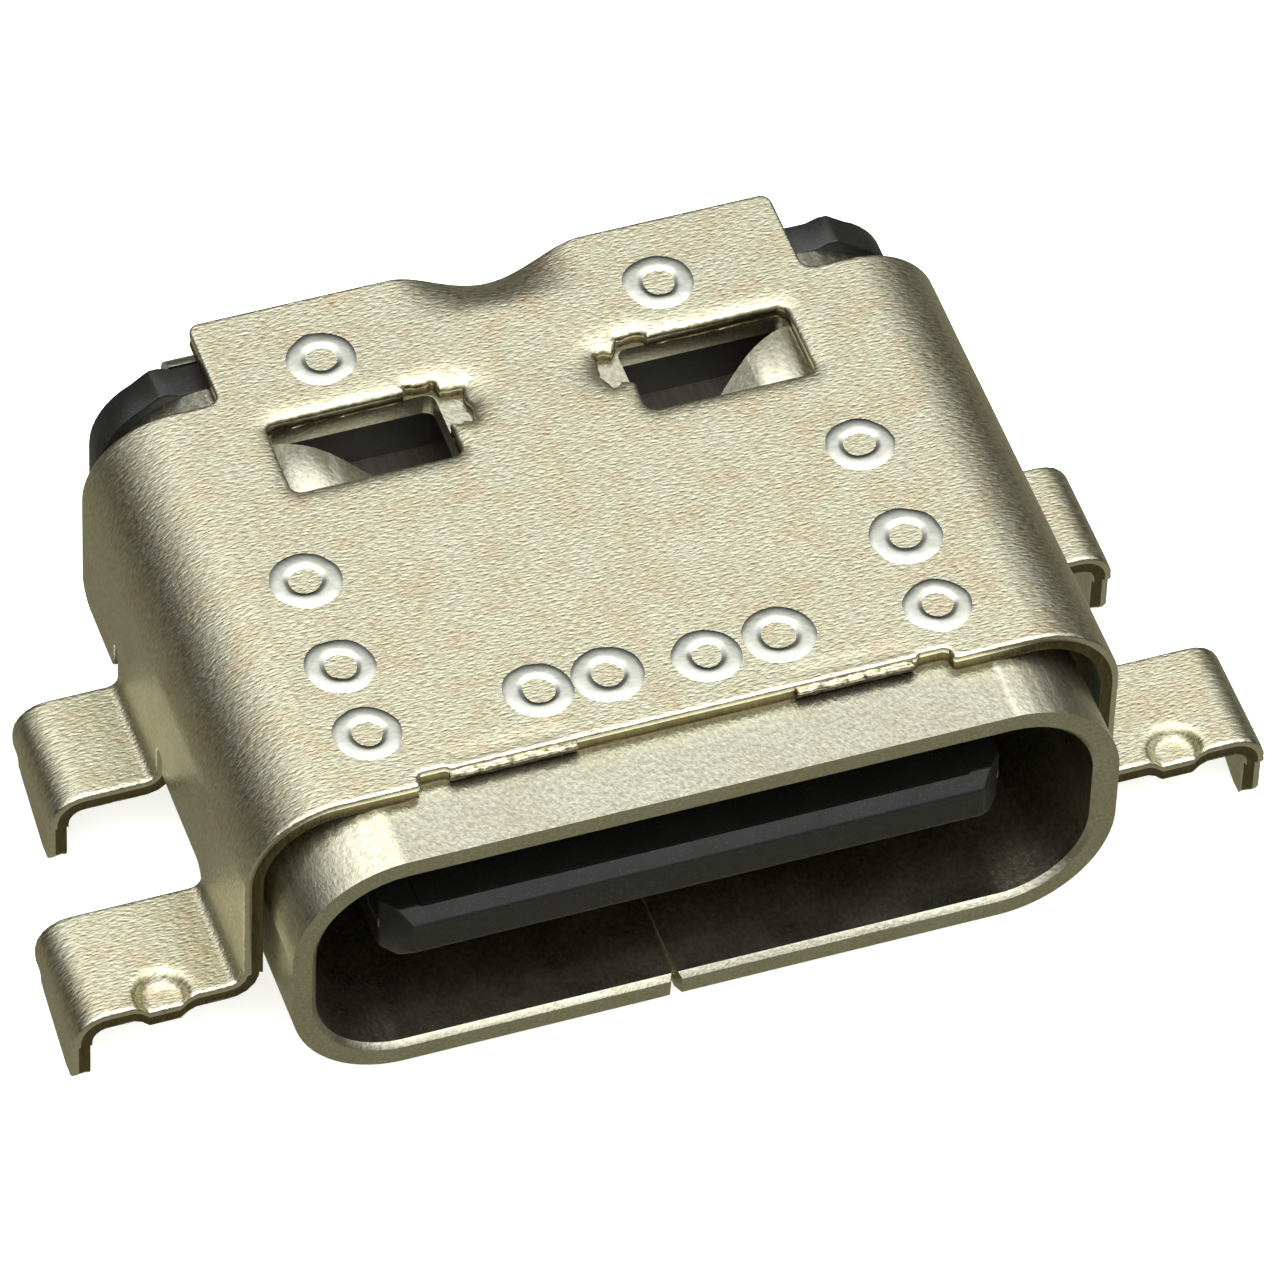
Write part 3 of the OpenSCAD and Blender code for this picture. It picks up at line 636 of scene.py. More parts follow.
def satin_nickel():
    """Cold-rolled steel, stamped, then satin nickel plated: short bright specks along the rolling
    direction, cool and warm patches, edges rubbed smoother and painted lighter as a painted
    edge highlight, and brown oxide beside two weld spots."""
    looks = bpy.context.scene.socket_finish
    material = new_material("satin_nickel_plated_steel")
    tree = material.node_tree
    blank = add(tree, "ShaderNodeUVMap", uv_map="blank_mm")
    # A rolled grain is 5 microns wide: it is drawn 25 wide and 70 long, or it would not show
    lengthways = add(tree, "ShaderNodeMapping", {"Vector": blank.outputs[0], "Scale": (13.0, 34.0, 1.0)})
    grain = add(
        tree,
        "ShaderNodeTexNoise",
        {"Vector": lengthways.outputs[0], "Scale": 1.0, "Detail": 2.5, "Roughness": 0.65},
        noise_dimensions="2D",
    )
    scattered = add(tree, "ShaderNodeMapping", {"Vector": blank.outputs[0], "Scale": (7.0, 17.0, 1.0)})
    fleck = add(
        tree,
        "ShaderNodeTexVoronoi",
        {"Vector": scattered.outputs[0], "Scale": 1.0, "Randomness": 1.0},
        voronoi_dimensions="2D",
    )
    patch = add(
        tree,
        "ShaderNodeTexNoise",
        {"Vector": blank.outputs[0], "Scale": 2.2, "Detail": 6.0, "Roughness": 0.72},
        noise_dimensions="2D",
    )
    patches = add(
        tree,
        "ShaderNodeMapRange",
        {"Value": patch.outputs[0], "From Min": 0.42, "From Max": 0.66, "To Max": 0.85},
    )
    tint = add(
        tree,
        "ShaderNodeMix",
        {"Factor": patches.outputs[0], 6: linear(looks.nickel), 7: linear(looks.nickel_warm)},
        data_type="RGBA",
    )
    specks = add(
        tree,
        "ShaderNodeMapRange",
        {"Value": grain.outputs[0], "From Min": 0.30, "From Max": 0.70, "To Min": 0.74, "To Max": 1.16},
    )
    speckled = add(
        tree,
        "ShaderNodeMix",
        {"Factor": 1.0, 6: tint.outputs[2], 7: specks.outputs[0]},
        data_type="RGBA",
        blend_type="MULTIPLY",
        clamp_result=True,
    )
    heat = add(tree, "ShaderNodeAttribute", attribute_name="heat")
    blotched = add(tree, "ShaderNodeMath", {0: patches.outputs[0], 1: 0.8, 2: 0.25}, operation="MULTIPLY_ADD")
    oxide = add(tree, "ShaderNodeMath", {0: heat.outputs["Fac"], 1: blotched.outputs[0]}, operation="MULTIPLY")
    tinted = add(
        tree,
        "ShaderNodeMix",
        {"Factor": oxide.outputs[0], 6: speckled.outputs[2], 7: linear(looks.heat)},
        data_type="RGBA",
    )
    # The plate is painted browner round the throat of each window.
    throat_browning = add(tree, "ShaderNodeAttribute", attribute_name="throat_browning")
    brown = add(tree, "ShaderNodeMapRange", {"Value": throat_browning.outputs["Fac"], "From Min": 0.15, "To Max": 0.8})
    browned = add(
        tree,
        "ShaderNodeMix",
        {"Factor": brown.outputs[0], 6: tinted.outputs[2], 7: linear("#6E6044")},
        data_type="RGBA",
    )
    # Painted highlight: the colour is lightened near the edges; the lower roughness there is wear.
    worn_edge_and_highlight = add(tree, "ShaderNodeAttribute", attribute_name="worn_edge_and_highlight")
    bright = add(
        tree,
        "ShaderNodeMapRange",
        {"Value": worn_edge_and_highlight.outputs["Fac"], "From Min": 0.2, "From Max": 0.9, "To Max": 0.6},
    )
    colour = add(
        tree,
        "ShaderNodeMix",
        {"Factor": bright.outputs[0], 6: browned.outputs[2], 7: linear("#E4E3CF")},
        data_type="RGBA",
    )
    satin = add(
        tree,
        "ShaderNodeMapRange",
        {
            "Value": grain.outputs[0],
            "To Min": looks.shell_roughness - 0.09,
            "To Max": looks.shell_roughness + 0.11,
        },
    )
    dull = add(tree, "ShaderNodeMath", {0: bright.outputs[0], 1: -0.22, 2: satin.outputs[0]}, operation="MULTIPLY_ADD")
    pits = add(
        tree, "ShaderNodeMapRange", {"Value": fleck.outputs["Distance"], "From Min": 0.05, "From Max": 0.32}
    )
    relief = add(tree, "ShaderNodeMath", {0: pits.outputs[0], 1: 0.35, 2: grain.outputs[0]}, operation="MULTIPLY_ADD")
    bump = add(tree, "ShaderNodeBump", {"Height": relief.outputs[0], "Strength": 1.0, "Distance": 0.006 * MM})
    shader = add(
        tree,
        "ShaderNodeBsdfPrincipled",
        {"Base Color": colour.outputs[2], "Metallic": 1.0, "Roughness": dull.outputs[0], "Normal": bump.outputs[0]},
    )
    add(tree, "ShaderNodeOutputMaterial", {"Surface": shader.outputs[0]})
    return material


def sheared_steel():
    """Steel where the die sheared the sheet: a torn, brownish band with upright scores."""
    looks = bpy.context.scene.socket_finish
    material = new_material("sheared_steel_edge")
    tree = material.node_tree
    place = add(tree, "ShaderNodeTexCoord")
    # Shear scores run through the sheet, 30 microns apart
    stretch = add(tree, "ShaderNodeMapping", {"Vector": place.outputs["Object"], "Scale": (30000, 30000, 7000)})
    score = add(tree, "ShaderNodeTexNoise", {"Vector": stretch.outputs[0], "Scale": 1.0, "Detail": 3.0})
    colour = add(
        tree,
        "ShaderNodeMix",
        {"Factor": score.outputs[0], 6: linear("#4E452C"), 7: linear(looks.bare_edge)},
        data_type="RGBA",
    )
    dull = add(tree, "ShaderNodeMapRange", {"Value": score.outputs[0], "To Min": 0.25, "To Max": 0.55})
    bump = add(tree, "ShaderNodeBump", {"Height": score.outputs[0], "Strength": 1.0, "Distance": 0.008 * MM})
    shader = add(
        tree,
        "ShaderNodeBsdfPrincipled",
        {"Base Color": colour.outputs[2], "Metallic": 1.0, "Roughness": dull.outputs[0], "Normal": bump.outputs[0]},
    )
    add(tree, "ShaderNodeOutputMaterial", {"Surface": shader.outputs[0]})
    return material


def torn_steel():
    """Sheet torn off its carrier strip, crumbly: its crest is painted light as a painted highlight, and its face lower
    down is painted dark as painted shade.
    """
    material = new_material("torn_plated_steel")
    tree = material.node_tree
    place = add(tree, "ShaderNodeTexCoord")
    split = add(tree, "ShaderNodeSeparateXYZ", {0: place.outputs["Object"]})
    # Painted highlight and painted shade: the colour goes from dark low on the stub to light on its crest, broken up by
    # the crumbs.
    high = add(
        tree,
        "ShaderNodeMapRange",
        {"Value": split.outputs["Z"], "From Min": 1.625 * MM, "From Max": 1.675 * MM},
    )
    # Crumbs of broken metal are about 60 microns across
    crumb = add(tree, "ShaderNodeTexNoise", {"Vector": place.outputs["Object"], "Scale": 16000.0, "Detail": 4.0})
    mixed = add(tree, "ShaderNodeMath", {0: high.outputs[0], 1: crumb.outputs[0]}, operation="MULTIPLY")
    share = add(tree, "ShaderNodeMapRange", {"Value": mixed.outputs[0], "From Min": 0.25, "From Max": 0.6})
    colour = add(
        tree,
        "ShaderNodeMix",
        {"Factor": share.outputs[0], 6: linear("#3A3224"), 7: linear("#D8D2B4")},
        data_type="RGBA",
    )
    bump = add(tree, "ShaderNodeBump", {"Height": crumb.outputs[0], "Strength": 1.0, "Distance": 0.012 * MM})
    shader = add(
        tree,
        "ShaderNodeBsdfPrincipled",
        {"Base Color": colour.outputs[2], "Metallic": 1.0, "Roughness": 0.32, "Normal": bump.outputs[0]},
    )
    add(tree, "ShaderNodeOutputMaterial", {"Surface": shader.outputs[0]})
    return material


def matt_nickel():
    """Deep-drawn steel tube, matt nickel plated: brighter and coarser grained than the shell,
    with draw lines along the tube."""
    looks = bpy.context.scene.socket_finish
    material = new_material("matt_nickel_plated_tube")
    tree = material.node_tree
    place = add(tree, "ShaderNodeTexCoord")
    # A matt grain of 10 microns is drawn 40 microns wide so that it shows
    fine = add(tree, "ShaderNodeMapping", {"Vector": place.outputs["Object"], "Scale": (24000, 15000, 24000)})
    grain = add(
        tree,
        "ShaderNodeTexNoise",
        {"Vector": fine.outputs[0], "Scale": 1.0, "Detail": 3.0, "Roughness": 0.65},
    )
    patch = add(tree, "ShaderNodeTexNoise", {"Vector": place.outputs["Object"], "Scale": 1800.0, "Detail": 5.0})
    shade = add(
        tree,
        "ShaderNodeMapRange",
        {"Value": grain.outputs[0], "From Min": 0.3, "From Max": 0.7, "To Min": 0.72, "To Max": 1.12},
    )
    tint = add(
        tree,
        "ShaderNodeMix",
        {"Factor": patch.outputs[0], 6: linear(looks.nickel_tube), 7: linear("#BDB99E")},
        data_type="RGBA",
    )
    colour = add(
        tree,
        "ShaderNodeMix",
        {"Factor": 1.0, 6: tint.outputs[2], 7: shade.outputs[0]},
        data_type="RGBA",
        blend_type="MULTIPLY",
    )
    dull = add(tree, "ShaderNodeMapRange", {"Value": patch.outputs[0], "To Min": 0.20, "To Max": 0.42})
    bump = add(tree, "ShaderNodeBump", {"Height": grain.outputs[0], "Strength": 1.0, "Distance": 0.006 * MM})
    shader = add(
        tree,
        "ShaderNodeBsdfPrincipled",
        {"Base Color": colour.outputs[2], "Metallic": 1.0, "Roughness": dull.outputs[0], "Normal": bump.outputs[0]},
    )
    add(tree, "ShaderNodeOutputMaterial", {"Surface": shader.outputs[0]})
    return material


def fused_nickel():
    """Nickel and steel melted by a spot weld: glassy, clean and colourless, with faint ripples."""
    looks = bpy.context.scene.socket_finish
    material = new_material("fused_nickel_weld")
    tree = material.node_tree
    place = add(tree, "ShaderNodeTexCoord")
    # Ripples of the frozen pool are about 0.1 mm apart
    ripple = add(tree, "ShaderNodeTexNoise", {"Vector": place.outputs["Object"], "Scale": 9000.0, "Detail": 2.0})
    colour = add(
        tree,
        "ShaderNodeMix",
        {"Factor": ripple.outputs[0], 6: linear("#BFC1B4"), 7: linear(looks.bead)},
        data_type="RGBA",
    )
    dull = add(tree, "ShaderNodeMapRange", {"Value": ripple.outputs[0], "To Min": 0.10, "To Max": 0.22})
    bump = add(tree, "ShaderNodeBump", {"Height": ripple.outputs[0], "Strength": 0.6, "Distance": 0.004 * MM})
    shader = add(
        tree,
        "ShaderNodeBsdfPrincipled",
        {"Base Color": colour.outputs[2], "Metallic": 1.0, "Roughness": dull.outputs[0], "Normal": bump.outputs[0]},
    )
    add(tree, "ShaderNodeOutputMaterial", {"Surface": shader.outputs[0]})
    return material


def moulded_polymer():
    """Glass-filled liquid crystal polymer, injection moulded: near black, dull, with faint flow
    marks and pale ends of glass fibre."""
    looks = bpy.context.scene.socket_finish
    material = new_material("glass_filled_black_polymer")
    tree = material.node_tree
    place = add(tree, "ShaderNodeTexCoord")
    # Fibre ends 10 microns across are drawn 25 across
    fibre = add(tree, "ShaderNodeTexVoronoi", {"Vector": place.outputs["Object"], "Scale": 26000.0})
    flow = add(tree, "ShaderNodeTexNoise", {"Vector": place.outputs["Object"], "Scale": 2600.0, "Detail": 4.0})
    ends = add(
        tree,
        "ShaderNodeMapRange",
        {"Value": fibre.outputs["Distance"], "From Min": 0.10, "From Max": 0.22, "To Min": 0.4, "To Max": 0.0},
    )
    colour = add(
        tree,
        "ShaderNodeMix",
        {"Factor": ends.outputs[0], 6: linear(looks.moulding), 7: linear("#5A584E")},
        data_type="RGBA",
    )
    dull = add(tree, "ShaderNodeMapRange", {"Value": flow.outputs[0], "To Min": 0.34, "To Max": 0.62})
    bump = add(tree, "ShaderNodeBump", {"Height": flow.outputs[0], "Strength": 0.5, "Distance": 0.01 * MM})
    shader = add(
        tree,
        "ShaderNodeBsdfPrincipled",
        {"Base Color": colour.outputs[2], "Roughness": dull.outputs[0], "IOR": 1.5, "Normal": bump.outputs[0]},
    )
    add(tree, "ShaderNodeOutputMaterial", {"Surface": shader.outputs[0]})
    return material


def gilt_alloy():
    """Copper alloy strip, nickel plated and flashed with hard gold: smooth, warm, lightly scored."""
    looks = bpy.context.scene.socket_finish
    material = new_material("gold_flashed_copper_alloy")
    tree = material.node_tree
    place = add(tree, "ShaderNodeTexCoord")
    # Rolling scores run the length of a contact, 20 microns apart
    stretch = add(tree, "ShaderNodeMapping", {"Vector": place.outputs["Object"], "Scale": (45000, 3000, 20000)})
    score = add(tree, "ShaderNodeTexNoise", {"Vector": stretch.outputs[0], "Scale": 1.0, "Detail": 2.0})
    colour = add(
        tree,
        "ShaderNodeMix",
        {"Factor": score.outputs[0], 6: linear("#C29A52"), 7: linear(looks.gold)},
        data_type="RGBA",
    )
    dull = add(tree, "ShaderNodeMapRange", {"Value": score.outputs[0], "To Min": 0.16, "To Max": 0.34})
    bump = add(tree, "ShaderNodeBump", {"Height": score.outputs[0], "Strength": 0.5, "Distance": 0.003 * MM})
    shader = add(
        tree,
        "ShaderNodeBsdfPrincipled",
        {"Base Color": colour.outputs[2], "Metallic": 1.0, "Roughness": dull.outputs[0], "Normal": bump.outputs[0]},
    )
    add(tree, "ShaderNodeOutputMaterial", {"Surface": shader.outputs[0]})
    return material


def rolled_stainless():
    """Stamped stainless strip: grey, with rolling lines along its length."""
    material = new_material("rolled_stainless_strip")
    tree = material.node_tree
    place = add(tree, "ShaderNodeTexCoord")
    # Rolling lines 10 microns apart are drawn 30 apart
    stretch = add(tree, "ShaderNodeMapping", {"Vector": place.outputs["Object"], "Scale": (33000, 2500, 33000)})
    score = add(tree, "ShaderNodeTexNoise", {"Vector": stretch.outputs[0], "Scale": 1.0, "Detail": 3.0})
    colour = add(
        tree,
        "ShaderNodeMix",
        {"Factor": score.outputs[0], 6: linear("#8E8C80"), 7: linear("#B9B7A9")},
        data_type="RGBA",
    )
    dull = add(tree, "ShaderNodeMapRange", {"Value": score.outputs[0], "To Min": 0.28, "To Max": 0.48})
    bump = add(tree, "ShaderNodeBump", {"Height": score.outputs[0], "Strength": 0.6, "Distance": 0.004 * MM})
    shader = add(
        tree,
        "ShaderNodeBsdfPrincipled",
        {"Base Color": colour.outputs[2], "Metallic": 1.0, "Roughness": dull.outputs[0], "Normal": bump.outputs[0]},
    )
    add(tree, "ShaderNodeOutputMaterial", {"Surface": shader.outputs[0]})
    return material


def glowing_paper():
    """White paper on a light table: even and bright, with a faint pulp mottle."""
    material = new_material("paper_on_light_table")
    tree = material.node_tree
    paper = bpy.context.scene.socket_finish.paper
    place = add(tree, "ShaderNodeTexCoord")
    pulp = add(tree, "ShaderNodeTexNoise", {"Vector": place.outputs["Object"], "Scale": 700.0, "Detail": 4.0})
    colour = add(
        tree,
        "ShaderNodeMix",
        {"Factor": pulp.outputs[0], 6: linear("#F1F1EE"), 7: linear(paper)},
        data_type="RGBA",
    )
    shader = add(
        tree,
        "ShaderNodeBsdfPrincipled",
        {
            "Base Color": colour.outputs[2],
            "Roughness": 0.9,
            "Specular IOR Level": 0.0,
            "Emission Color": colour.outputs[2],
            "Emission Strength": 0.80,
        },
    )
    add(tree, "ShaderNodeOutputMaterial", {"Surface": shader.outputs[0]})
    return material


# How bright the room is: by how near a direction lies to the soft light's, and by its height
SOFT_LIGHT = ((0.0, 0.20), (0.30, 0.34), (0.50, 0.72), (0.66, 1.05), (0.85, 1.5), (1.0, 1.7))
HORIZON = ((-1.0, 0.36), (-0.35, 0.30), (-0.06, 0.14), (0.03, 0.10), (0.22, 0.45), (0.50, 1.0))


def studio_room():
    """One large soft light over a table in a dim room, as the metal sees it."""
    world = bpy.data.worlds.new("studio_room")
    world.use_nodes = True
    tree = world.node_tree
    tree.nodes.clear()
    place = add(tree, "ShaderNodeTexCoord")
    way = Vector(bpy.context.scene.socket_stage.ceiling).normalized()
    facing = add(tree, "ShaderNodeVectorMath", {0: place.outputs["Generated"], 1: way}, operation="DOT_PRODUCT")
    split = add(tree, "ShaderNodeSeparateXYZ", {0: place.outputs["Generated"]})
    soft = add(tree, "ShaderNodeFloatCurve", {"Value": facing.outputs["Value"]})
    height = add(tree, "ShaderNodeMapRange", {"Value": split.outputs["Z"], "From Min": -1.0, "From Max": 1.0})
    level = add(tree, "ShaderNodeFloatCurve", {"Value": height.outputs[0]})
    for node, stops, low in ((soft, SOFT_LIGHT, 0.0), (level, HORIZON, -1.0)):
        curve = node.mapping.curves[0]
        while len(curve.points) < len(stops):
            curve.points.new(0.5, 0.5)
        for point, (at, value) in zip(curve.points, stops):
            point.location = ((at - low) / (1.0 - low), value / 2)
            point.handle_type = "AUTO_CLAMPED"
        node.mapping.update()
    below = add(tree, "ShaderNodeMath", {0: split.outputs["Z"], 1: 0.0}, operation="LESS_THAN")
    dimmed = add(tree, "ShaderNodeMath", {0: soft.outputs[0], 1: level.outputs[0]}, operation="MULTIPLY")
    above = add(tree, "ShaderNodeMath", {0: dimmed.outputs[0], 1: 4.0}, operation="MULTIPLY")
    under = add(tree, "ShaderNodeMath", {0: level.outputs[0], 1: 2.0}, operation="MULTIPLY")
    power = add(
        tree, "ShaderNodeMix", {"Factor": below.outputs[0], 2: above.outputs[0], 3: under.outputs[0]}, data_type="FLOAT"
    )
    colour = add(
        tree,
        "ShaderNodeMix",
        {"Factor": below.outputs[0], 6: linear("#FFFFFF"), 7: linear("#E6E2C4")},
        data_type="RGBA",
    )
    light = add(tree, "ShaderNodeBackground", {"Color": colour.outputs[2], "Strength": power.outputs[0]})
    add(tree, "ShaderNodeOutputWorld", {"Surface": light.outputs[0]})
    return world


# ---------- pieces ----------


class SOCKET_OT_outer_shell(bpy.types.Operator):
    """Cuts, presses and folds the outer shell from one flat blank"""

    bl_idname = "socket.outer_shell"
    bl_label = "Outer shell"

    def execute(self, context):
        piece = new_piece("folded_outer_shell", shell_mesh("folded_outer_shell", context.scene.socket_sizes))
        piece.data.materials.append(satin_nickel())
        piece.data.materials.append(sheared_steel())
        joined_up(piece, ["outer_shell"])
        return {"FINISHED"}


# Height of a weld spot from its pip to its sunk skirt, as shares of its radius and its height
BEAD_TOP = ((0.0, 0.0), (0.22, 0.40), (0.46, 0.86), (0.56, 1.0), (0.68, 0.985), (0.80, 0.92), (0.90, 0.766), (1.0, 0.50))


def bead_tree(material):
    """Geometry Nodes: a weld spot on every point, its round top shaped by a curve."""
    tree = bpy.data.node_groups.new("weld_spots", "GeometryNodeTree")
    face = tree.interface
    face.new_socket("Points", in_out="INPUT", socket_type="NodeSocketGeometry")
    for name, kind in (("Radius", "NodeSocketFloat"), ("Height", "NodeSocketFloat"), ("Seed", "NodeSocketInt")):
        face.new_socket(name, in_out="INPUT", socket_type=kind)
    face.new_socket("Welds", in_out="OUTPUT", socket_type="NodeSocketGeometry")
    given = add(tree, "NodeGroupInput")
    ball = add(tree, "GeometryNodeMeshUVSphere", {"Segments": 40, "Rings": 40, "Radius": 1.0})
    place = add(tree, "GeometryNodeInputPosition")
    split = add(tree, "ShaderNodeSeparateXYZ", {0: place.outputs[0]})
    flat = add(tree, "ShaderNodeVectorMath", {0: place.outputs[0], 1: (1.0, 1.0, 0.0)}, operation="MULTIPLY")
    reach = add(tree, "ShaderNodeVectorMath", {0: flat.outputs[0]}, operation="LENGTH")
    angle = add(tree, "ShaderNodeMath", {0: reach.outputs["Value"]}, operation="ARCSINE")
    even = add(tree, "ShaderNodeMath", {0: angle.outputs[0], 1: math.pi / 2}, operation="DIVIDE")
    away = add(tree, "ShaderNodeVectorMath", {0: flat.outputs[0]}, operation="NORMALIZE")
    spread = add(tree, "ShaderNodeVectorMath", {0: away.outputs[0], "Scale": even.outputs[0]}, operation="SCALE")
    top = add(tree, "ShaderNodeFloatCurve", {"Value": even.outputs[0]})
    curve = top.mapping.curves[0]
    for spot in BEAD_TOP[1:-1]:
        curve.points.new(*spot)
    for point, spot in zip(curve.points, BEAD_TOP):
        point.location = spot
        point.handle_type = "AUTO"
    top.mapping.update()
    raised = add(tree, "ShaderNodeMapRange", {"Value": top.outputs[0], "To Min": -0.17, "To Max": 0.052})
    upper = add(tree, "ShaderNodeMath", {0: split.outputs["Z"], 1: -0.001}, operation="GREATER_THAN")
    height = add(tree, "ShaderNodeMix", {"Factor": upper.outputs[0], 2: -0.40, 3: raised.outputs[0]}, data_type="FLOAT")
    lift = add(tree, "ShaderNodeCombineXYZ", {"Z": height.outputs[0]})
    spot = add(tree, "ShaderNodeVectorMath", {0: spread.outputs[0], 1: lift.outputs[0]}, operation="ADD")
    formed = add(tree, "GeometryNodeSetPosition", {"Geometry": ball.outputs["Mesh"], "Position": spot.outputs[0]})
    turn = add(
        tree,
        "FunctionNodeRandomValue",
        {0: (0.0, 0.0, 0.0), 1: (0.0, 0.0, 6.283), "Seed": given.outputs["Seed"]},
        data_type="FLOAT_VECTOR",
    )
    size = add(tree, "FunctionNodeRandomValue", {2: 0.95, 3: 1.03, "Seed": given.outputs["Seed"]}, data_type="FLOAT")
    wide = add(tree, "ShaderNodeMath", {0: size.outputs[1], 1: given.outputs["Radius"]}, operation="MULTIPLY")
    scale = add(
        tree, "ShaderNodeCombineXYZ", {"X": wide.outputs[0], "Y": wide.outputs[0], "Z": given.outputs["Height"]}
    )
    set_out = add(
        tree,
        "GeometryNodeInstanceOnPoints",
        {
            "Points": given.outputs["Points"],
            "Instance": formed.outputs[0],
            "Rotation": turn.outputs[0],
            "Scale": scale.outputs[0],
        },
    )
    real = add(tree, "GeometryNodeRealizeInstances", {0: set_out.outputs[0]})
    where = add(tree, "GeometryNodeInputPosition")
    stir = add(tree, "ShaderNodeTexNoise", {"Vector": where.outputs[0], "Scale": 3200.0, "Detail": 1.0})
    centred = add(tree, "ShaderNodeVectorMath", {0: stir.outputs["Color"], 1: (0.5, 0.5, 0.5)}, operation="SUBTRACT")
    by = add(tree, "ShaderNodeVectorMath", {0: centred.outputs[0], 1: (0.06 * MM, 0.06 * MM, 0.0)}, operation="MULTIPLY")
    uneven = add(tree, "GeometryNodeSetPosition", {"Geometry": real.outputs[0], "Offset": by.outputs[0]})
    shaded = add(tree, "GeometryNodeSetShadeSmooth", {0: uneven.outputs[0]})
    finished = add(tree, "GeometryNodeSetMaterial", {"Geometry": shaded.outputs[0], "Material": material})
    add(tree, "NodeGroupOutput", {0: finished.outputs[0]})
    return tree


class SOCKET_OT_weld_spots(bpy.types.Operator):
    """Sets a glassy weld spot on each of the plate's twelve weld places"""

    bl_idname = "socket.weld_spots"
    bl_label = "Weld spots"

    def execute(self, context):
        mesh = bpy.data.meshes.new("weld_places")
        mesh.from_pydata([(x * MM, y * MM, PLATE_TOP * MM) for x, y in WELDS], [], [])
        places = new_piece("weld_places", mesh)
        tree = bead_tree(fused_nickel())
        maker = places.modifiers.new("weld spots", "NODES")
        maker.node_group = tree
        values = {"Radius": context.scene.socket_sizes.bead, "Height": 0.37 * MM, "Seed": 7}
        for item in tree.interface.items_tree:
            if item.in_out == "INPUT" and item.name in values:
                maker[item.identifier] = values[item.name]
        made = bpy.data.meshes.new_from_object(places.evaluated_get(context.evaluated_depsgraph_get()))
        bpy.data.objects.remove(places)
        if len(made.polygons) < 1000:
            raise RuntimeError("the weld spots were not made")
        joined_up(new_piece("weld_spots", made), [])
        return {"FINISHED"}


# Section of a torn stub (along, up), from under the plate's edge round its front and over its crest
STUB = (
    (0.93, 1.562), (0.875, 1.564), (0.842, 1.60), (0.838, 1.645), (0.822, 1.668),
    (0.832, 1.694), (0.852, 1.70), (0.872, 1.688), (0.90, 1.715), (0.93, 1.735),
)


class SOCKET_OT_torn_stubs(bpy.types.Operator):
    """Makes the torn ends of the carrier strip on the shell's front edge"""

    bl_idname = "socket.torn_stubs"
    bl_label = "Torn stubs"

    def execute(self, context):
        verts, faces, count, steps = [], [], len(STUB), 54
        for left, right in ((-2.50, -1.15), (1.20, 2.45)):
            start = len(verts)
            for k in range(steps + 1):
                x = left + (right - left) * k / steps
                for j, (y, z) in enumerate(STUB):
                    rough = jitter(x * 9, y * 30, z * 30)
                    fine = jitter(x * 31, y * 40, z * 40)
                    loose = 0.0 if j in (0, count - 1) else 1.0
                    high = 1.0 if j > 2 else 0.2
                    y += loose * (0.030 * max(0.0, rough[1]) * high + 0.010 * (1 + fine[1]))
                    z += loose * high * (0.022 * rough[2] + 0.010 * fine[2])
                    verts.append((x + 0.012 * fine[0] * loose, y, z))
            for k in range(steps):
                for j in range(count):
                    a, b = start + k * count + j, start + k * count + (j + 1) % count
                    faces.append((b, a, a + count, b + count))
            faces.append([start + j for j in range(count)])
            faces.append([start + steps * count + j for j in reversed(range(count))])
        mesh = bpy.data.meshes.new("torn_stubs")
        mesh.from_pydata([(x * MM, y * MM, z * MM) for x, y, z in verts], [], faces)
        bm = bmesh.new()
        bm.from_mesh(mesh)
        bmesh.ops.recalc_face_normals(bm, faces=bm.faces)
        bm.to_mesh(mesh)
        bm.free()
        mesh.polygons.foreach_set("use_smooth", np.ones(len(mesh.polygons), bool))
        piece = new_piece("torn_stubs", mesh)
        finish_with(piece, torn_steel())
        joined_up(piece, [])
        return {"FINISHED"}


# Bends of the mouth tube that are made rounder: their axes (across, up) and radii, in millimetres
TUBE_BENDS = [(across, up, radius) for across in (-3.22, 3.22) for up in (-0.33, 0.33) for radius in (0.95, 1.22)]


def round_bend(bm, across, up, radius):
    """Splits each flat facet along one bend and moves its new corners onto the true round."""

    def on_bend(vert, slack):
        x, z = vert.co.x / MM - across, vert.co.z / MM - up
        return abs(math.hypot(x, z) - radius) < slack and x * across >= -0.01 and z * up >= -0.01

    chords = []
    for edge in bm.edges:
        a, b = edge.verts
        if math.hypot(a.co.x - b.co.x, a.co.z - b.co.z) > 0.02 * MM and on_bend(a, 0.002) and on_bend(b, 0.002):
            chords.append(edge)
    cut = bmesh.ops.subdivide_edges(bm, edges=chords, cuts=2, use_grid_fill=True)
    for vert in cut["geom_inner"]:
        if isinstance(vert, bmesh.types.BMVert) and on_bend(vert, 0.06):
            spoke = Vector((vert.co.x / MM - across, vert.co.z / MM - up)).normalized() * radius
            vert.co.x, vert.co.z = (across + spoke.x) * MM, (up + spoke.y) * MM


class SOCKET_OT_mouth_tube(bpy.types.Operator):
    """Makes the mouth tube"""

    bl_idname = "socket.mouth_tube"
    bl_label = "Mouth tube"

    def execute(self, context):
        piece = merged_copy("inner_shell", "drawn_mouth_tube")
        bm = bmesh.new()
        bm.from_mesh(piece.data)
        for bend in TUBE_BENDS:
            round_bend(bm, *bend)
        bm.to_mesh(piece.data)
        bm.free()
        soften(piece, context.scene.socket_sizes.edge, 3)
        finish_with(piece, matt_nickel())
        joined_up(piece, ["inner_shell"])
        return {"FINISHED"}


